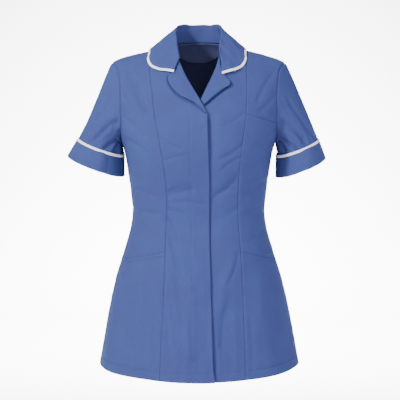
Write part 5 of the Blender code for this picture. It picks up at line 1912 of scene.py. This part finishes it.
    def back_level(self, x: Array, height: Array, row: Array) -> Array:
        """Back: two long darts, each a sewn line that dips and pulls the cloth beside it.

        Args:
            x: places across.
            height: heights.
            row: not used.

        Returns:
            Height over the form.
        """
        dart, total = self.dart, 0.0 * x
        spacing, reach, size = dart.pull
        for side in Side:
            bend = fade((height - dart.bend_from) / dart.bend_run)
            at = side.value * (dart.out_low + dart.out_more * bend)
            on = fade((height - dart.foot) / dart.end_run) * fade((dart.head - height) / dart.end_run)
            away = np.abs(x - at)
            pull = noise(height / spacing, height * 0 + side.value, 81) * np.exp(-away / reach)
            total += on * (size * pull - dart.dip[1] * bump(away / dart.dip[0]))
        return total

    def back(self) -> None:
        """The back in one piece, with its darts, and the facing inside its neck."""
        body = self.body
        hip, underarm, chest, shoulder = body.stops
        rows = rows_between((0, hip, 90), (hip, underarm, 72), (underarm, chest, 24), (chest, shoulder, 50))
        level = np.array(0.0)
        neck_end = float(body.turn_of(np.array(body.neck_half_width), level)
                         / body.turn_of(body.armhole_out(level, Face.BACK), level))
        middle = np.linspace(-neck_end, neck_end, 45)
        beside = neck_end + (1 - neck_end) * crowded(52, 0.4)[1:]
        shares = (np.concatenate((-beside[::-1], middle, beside)) + 1) / 2
        edges = (lambda z: -body.armhole_out(z, Face.BACK), lambda z: body.armhole_out(z, Face.BACK))
        borders = (Border.SEAM, Border.SEAM, Border.HEM, Border.SEAM)
        Panel("back", Face.BACK, rows, shares, edges, borders, self.back_level, seed=900).build(self)
        self.neck_facing(neck_end, edges)

    def neck_facing(self, neck_end: float, edges: tuple[Line, Line]) -> None:
        """The facing inside the back's neck.

        Args:
            neck_end: how far round the back the neck reaches, as a share of the half.
            edges: x of the back's two side edges at a height.
        """
        cut = NeckFacing()
        across = np.linspace(-1, 1, cut.cells[0] + 1)
        lowest = cut.side_row + (cut.middle_row - cut.side_row) * (1 - np.abs(across) ** cut.curve)
        climb = np.linspace(0.0, 1.0, cut.cells[1] + 1)[:, None]
        row = lowest + (self.body.shoulder_row - lowest) * climb
        share = (np.linspace(-neck_end, neck_end, len(across)) + 1) / 2 * np.ones_like(climb)
        x, height = self.body.spread(row, share, edges, Face.BACK, True)
        spacing, slack = cut.slack
        level = -CLOTH - cut.drop + slack * noise(x / spacing, height / spacing, 91)
        outer = self.at(x, height, Face.BACK, level)
        inner = self.at(x, height, Face.BACK, level - CLOTH)
        item = Mesh.shell("back_neck_facing_cloth", outer, inner, (self.finishes.facing,))
        self.declare(item, "back_neck_facing")

    def hems(self) -> None:
        """Lines of stitches along the hem, front and back."""
        body, side, right_end, left_end = self.body, 0.213, -0.0135, -0.0105
        lines = ((Face.FRONT, (-side, right_end)), (Face.FRONT, (left_end, side)),
                 (Face.BACK, (-side, side)))
        for face, ends in lines:
            x = np.linspace(*ends, 400)
            height = body.hem_height(x, face) + EdgeRelief().hem_stitch
            front, free_edge = face is Face.FRONT, body.over_edge_x(height)
            over = (x > body.stitch_x(height)) & (x < free_edge) & front
            under = (x > free_edge) & (x < body.princess_x(height, Side.LEFT)) & front
            drop = np.where(under, -self.underlap_drop(x, height) - self.fly.under_gap, 0.0)
            self.line(x, height, face, np.where(over, self.lap_level, drop))

    def build(self) -> None:
        """Make every piece."""
        self.front_centres()
        self.side_panels()
        self.back()
        for cut in self.lapels:
            cut.build(self)
        self.stitches.append(Collar().build(self))
        left = Sleeve("left", Side.LEFT, (0.2115, -0.2165, 0.049), (0.219, -0.2618, 0.0584), 20.8, 7,
                      tuck=(0.365, 0.08, 0.0095))
        right = Sleeve("right", Side.RIGHT, (0.2085, -0.215, 0.053), (0.2205, -0.2586, 0.0655), 19.8, 13)
        for sleeve in (left, right):
            self.stitches += sleeve.build(self)
        self.hems()
        item = Thread().sew("stitching", self.stitches, self.finishes.thread)
        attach(item, BODY)
        LOG.info("stitching: %d faces", len(item.data.polygons))


@dataclass(frozen=True)
class Studio:
    """Photographer's setting: the camera, a seamless white sheet and soft lights."""

    camera_at: Triple = (0.003, -2.8, -0.05)
    pitch: float = 5.75
    lens: float = 117.5
    floor: float = -1.25
    sweep_start: float = 3.4
    sweep_radius: float = 1.2
    half_width: float = 7.0
    front: float = -7.0
    wall_top: float = 1.1
    paper_spread: float = 80.0
    room: tuple[str, float] = ("#EBE3F3", 0.98)

    def camera(self) -> None:
        """Long lens a little above the chest, looking slightly down."""
        data = bpy.data.cameras.new("camera")
        data.lens = self.lens
        data.sensor_width = 36.0
        data.dof.use_dof = False
        item = bpy.data.objects.new("camera", data)
        item.location = self.camera_at
        item.rotation_euler = (np.radians(90 - self.pitch), 0.0, 0.0)
        bpy.context.scene.collection.objects.link(item)
        bpy.context.scene.camera = item

    def backdrop(self) -> None:
        """White sheet that runs along the floor and curves up behind."""
        angle = np.linspace(0.0, np.pi / 2, 24)
        radius = self.sweep_radius
        curve_y = self.sweep_start + radius * np.sin(angle)
        curve_z = self.floor + radius * (1 - np.cos(angle))
        y = np.concatenate(([self.front], curve_y, [self.sweep_start + radius]))
        z = np.concatenate(([self.floor], curve_z, [self.wall_top]))
        x = np.array((-self.half_width, self.half_width))
        grid = np.stack(np.broadcast_arrays(x[None, :], y[:, None], z[:, None]), axis=-1)
        paper = bpy.data.materials.new("white_background_paper")
        paper.use_nodes = True
        shader = paper.node_tree.nodes["Principled BSDF"]
        shader.inputs["Base Color"].default_value = linear("#F6F7F8")
        shader.inputs["Roughness"].default_value = 0.9
        quads = Mesh.faces(len(y), 2, 0, True, False)
        Mesh.item("backdrop", grid.reshape(-1, 3), quads, paper)

    def light(self, name: str, at: Sequence[float], toward: Sequence[float], size: float, power: float,
              tint: str = "#FFFFFF", spread: float = 180.0) -> None:
        """Soft square light at a place, turned toward another.

        Args:
            name: name of the object.
            at: place of the light.
            toward: point that the light faces.
            size: side of the light.
            power: power in watts.
            tint: colour as a hex code.
            spread: angle of the cone it lights, in degrees; 180 is a bare soft box.
        """
        data = bpy.data.lights.new(name, "AREA")
        data.spread = np.radians(spread)
        data.size, data.energy = size, power
        data.color = linear(tint)[:3]
        item = bpy.data.objects.new(name, data)
        away = np.subtract(at, toward)
        away = away / np.linalg.norm(away)
        item.location = at
        item.rotation_euler = (np.arccos(away[2]), 0.0, np.arctan2(away[0], -away[1]))
        bpy.context.scene.collection.objects.link(item)

    def lights(self) -> None:
        """Key light from the viewer's upper left, weaker ones elsewhere, two on the paper, a pale room."""
        middle = (0.0, 0.0, -0.3)
        self.light("key_light", (-2.0, -1.8, 1.5), middle, 0.35, 116.0)
        self.light("front_light", (0.5, -3.0, 0.9), middle, 1.0, 18.0)
        self.light("fill_light", (2.3, -1.7, 0.1), middle, 1.4, 26.0, "#EBDCF6")
        for name, sign in (("right", 1.0), ("left", -1.0)):
            self.light(f"paper_light_{name}", (sign * 1.5, 1.1, 1.5), (sign * 0.2, 3.5, -1.0), 0.8, 230.0,
                       spread=self.paper_spread)
        world = bpy.data.worlds.new("white_room")
        bpy.context.scene.world = world
        world.use_nodes = True
        background = world.node_tree.nodes["Background"]
        background.inputs["Color"].default_value = linear(self.room[0])
        background.inputs["Strength"].default_value = self.room[1]


def main() -> None:
    """Set the camera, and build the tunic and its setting."""
    logging.basicConfig(level=logging.INFO, format="%(message)s")
    studio = Studio()
    studio.camera()
    Tunic().build()
    studio.backdrop()
    studio.lights()


if __name__ == "__main__":
    main()
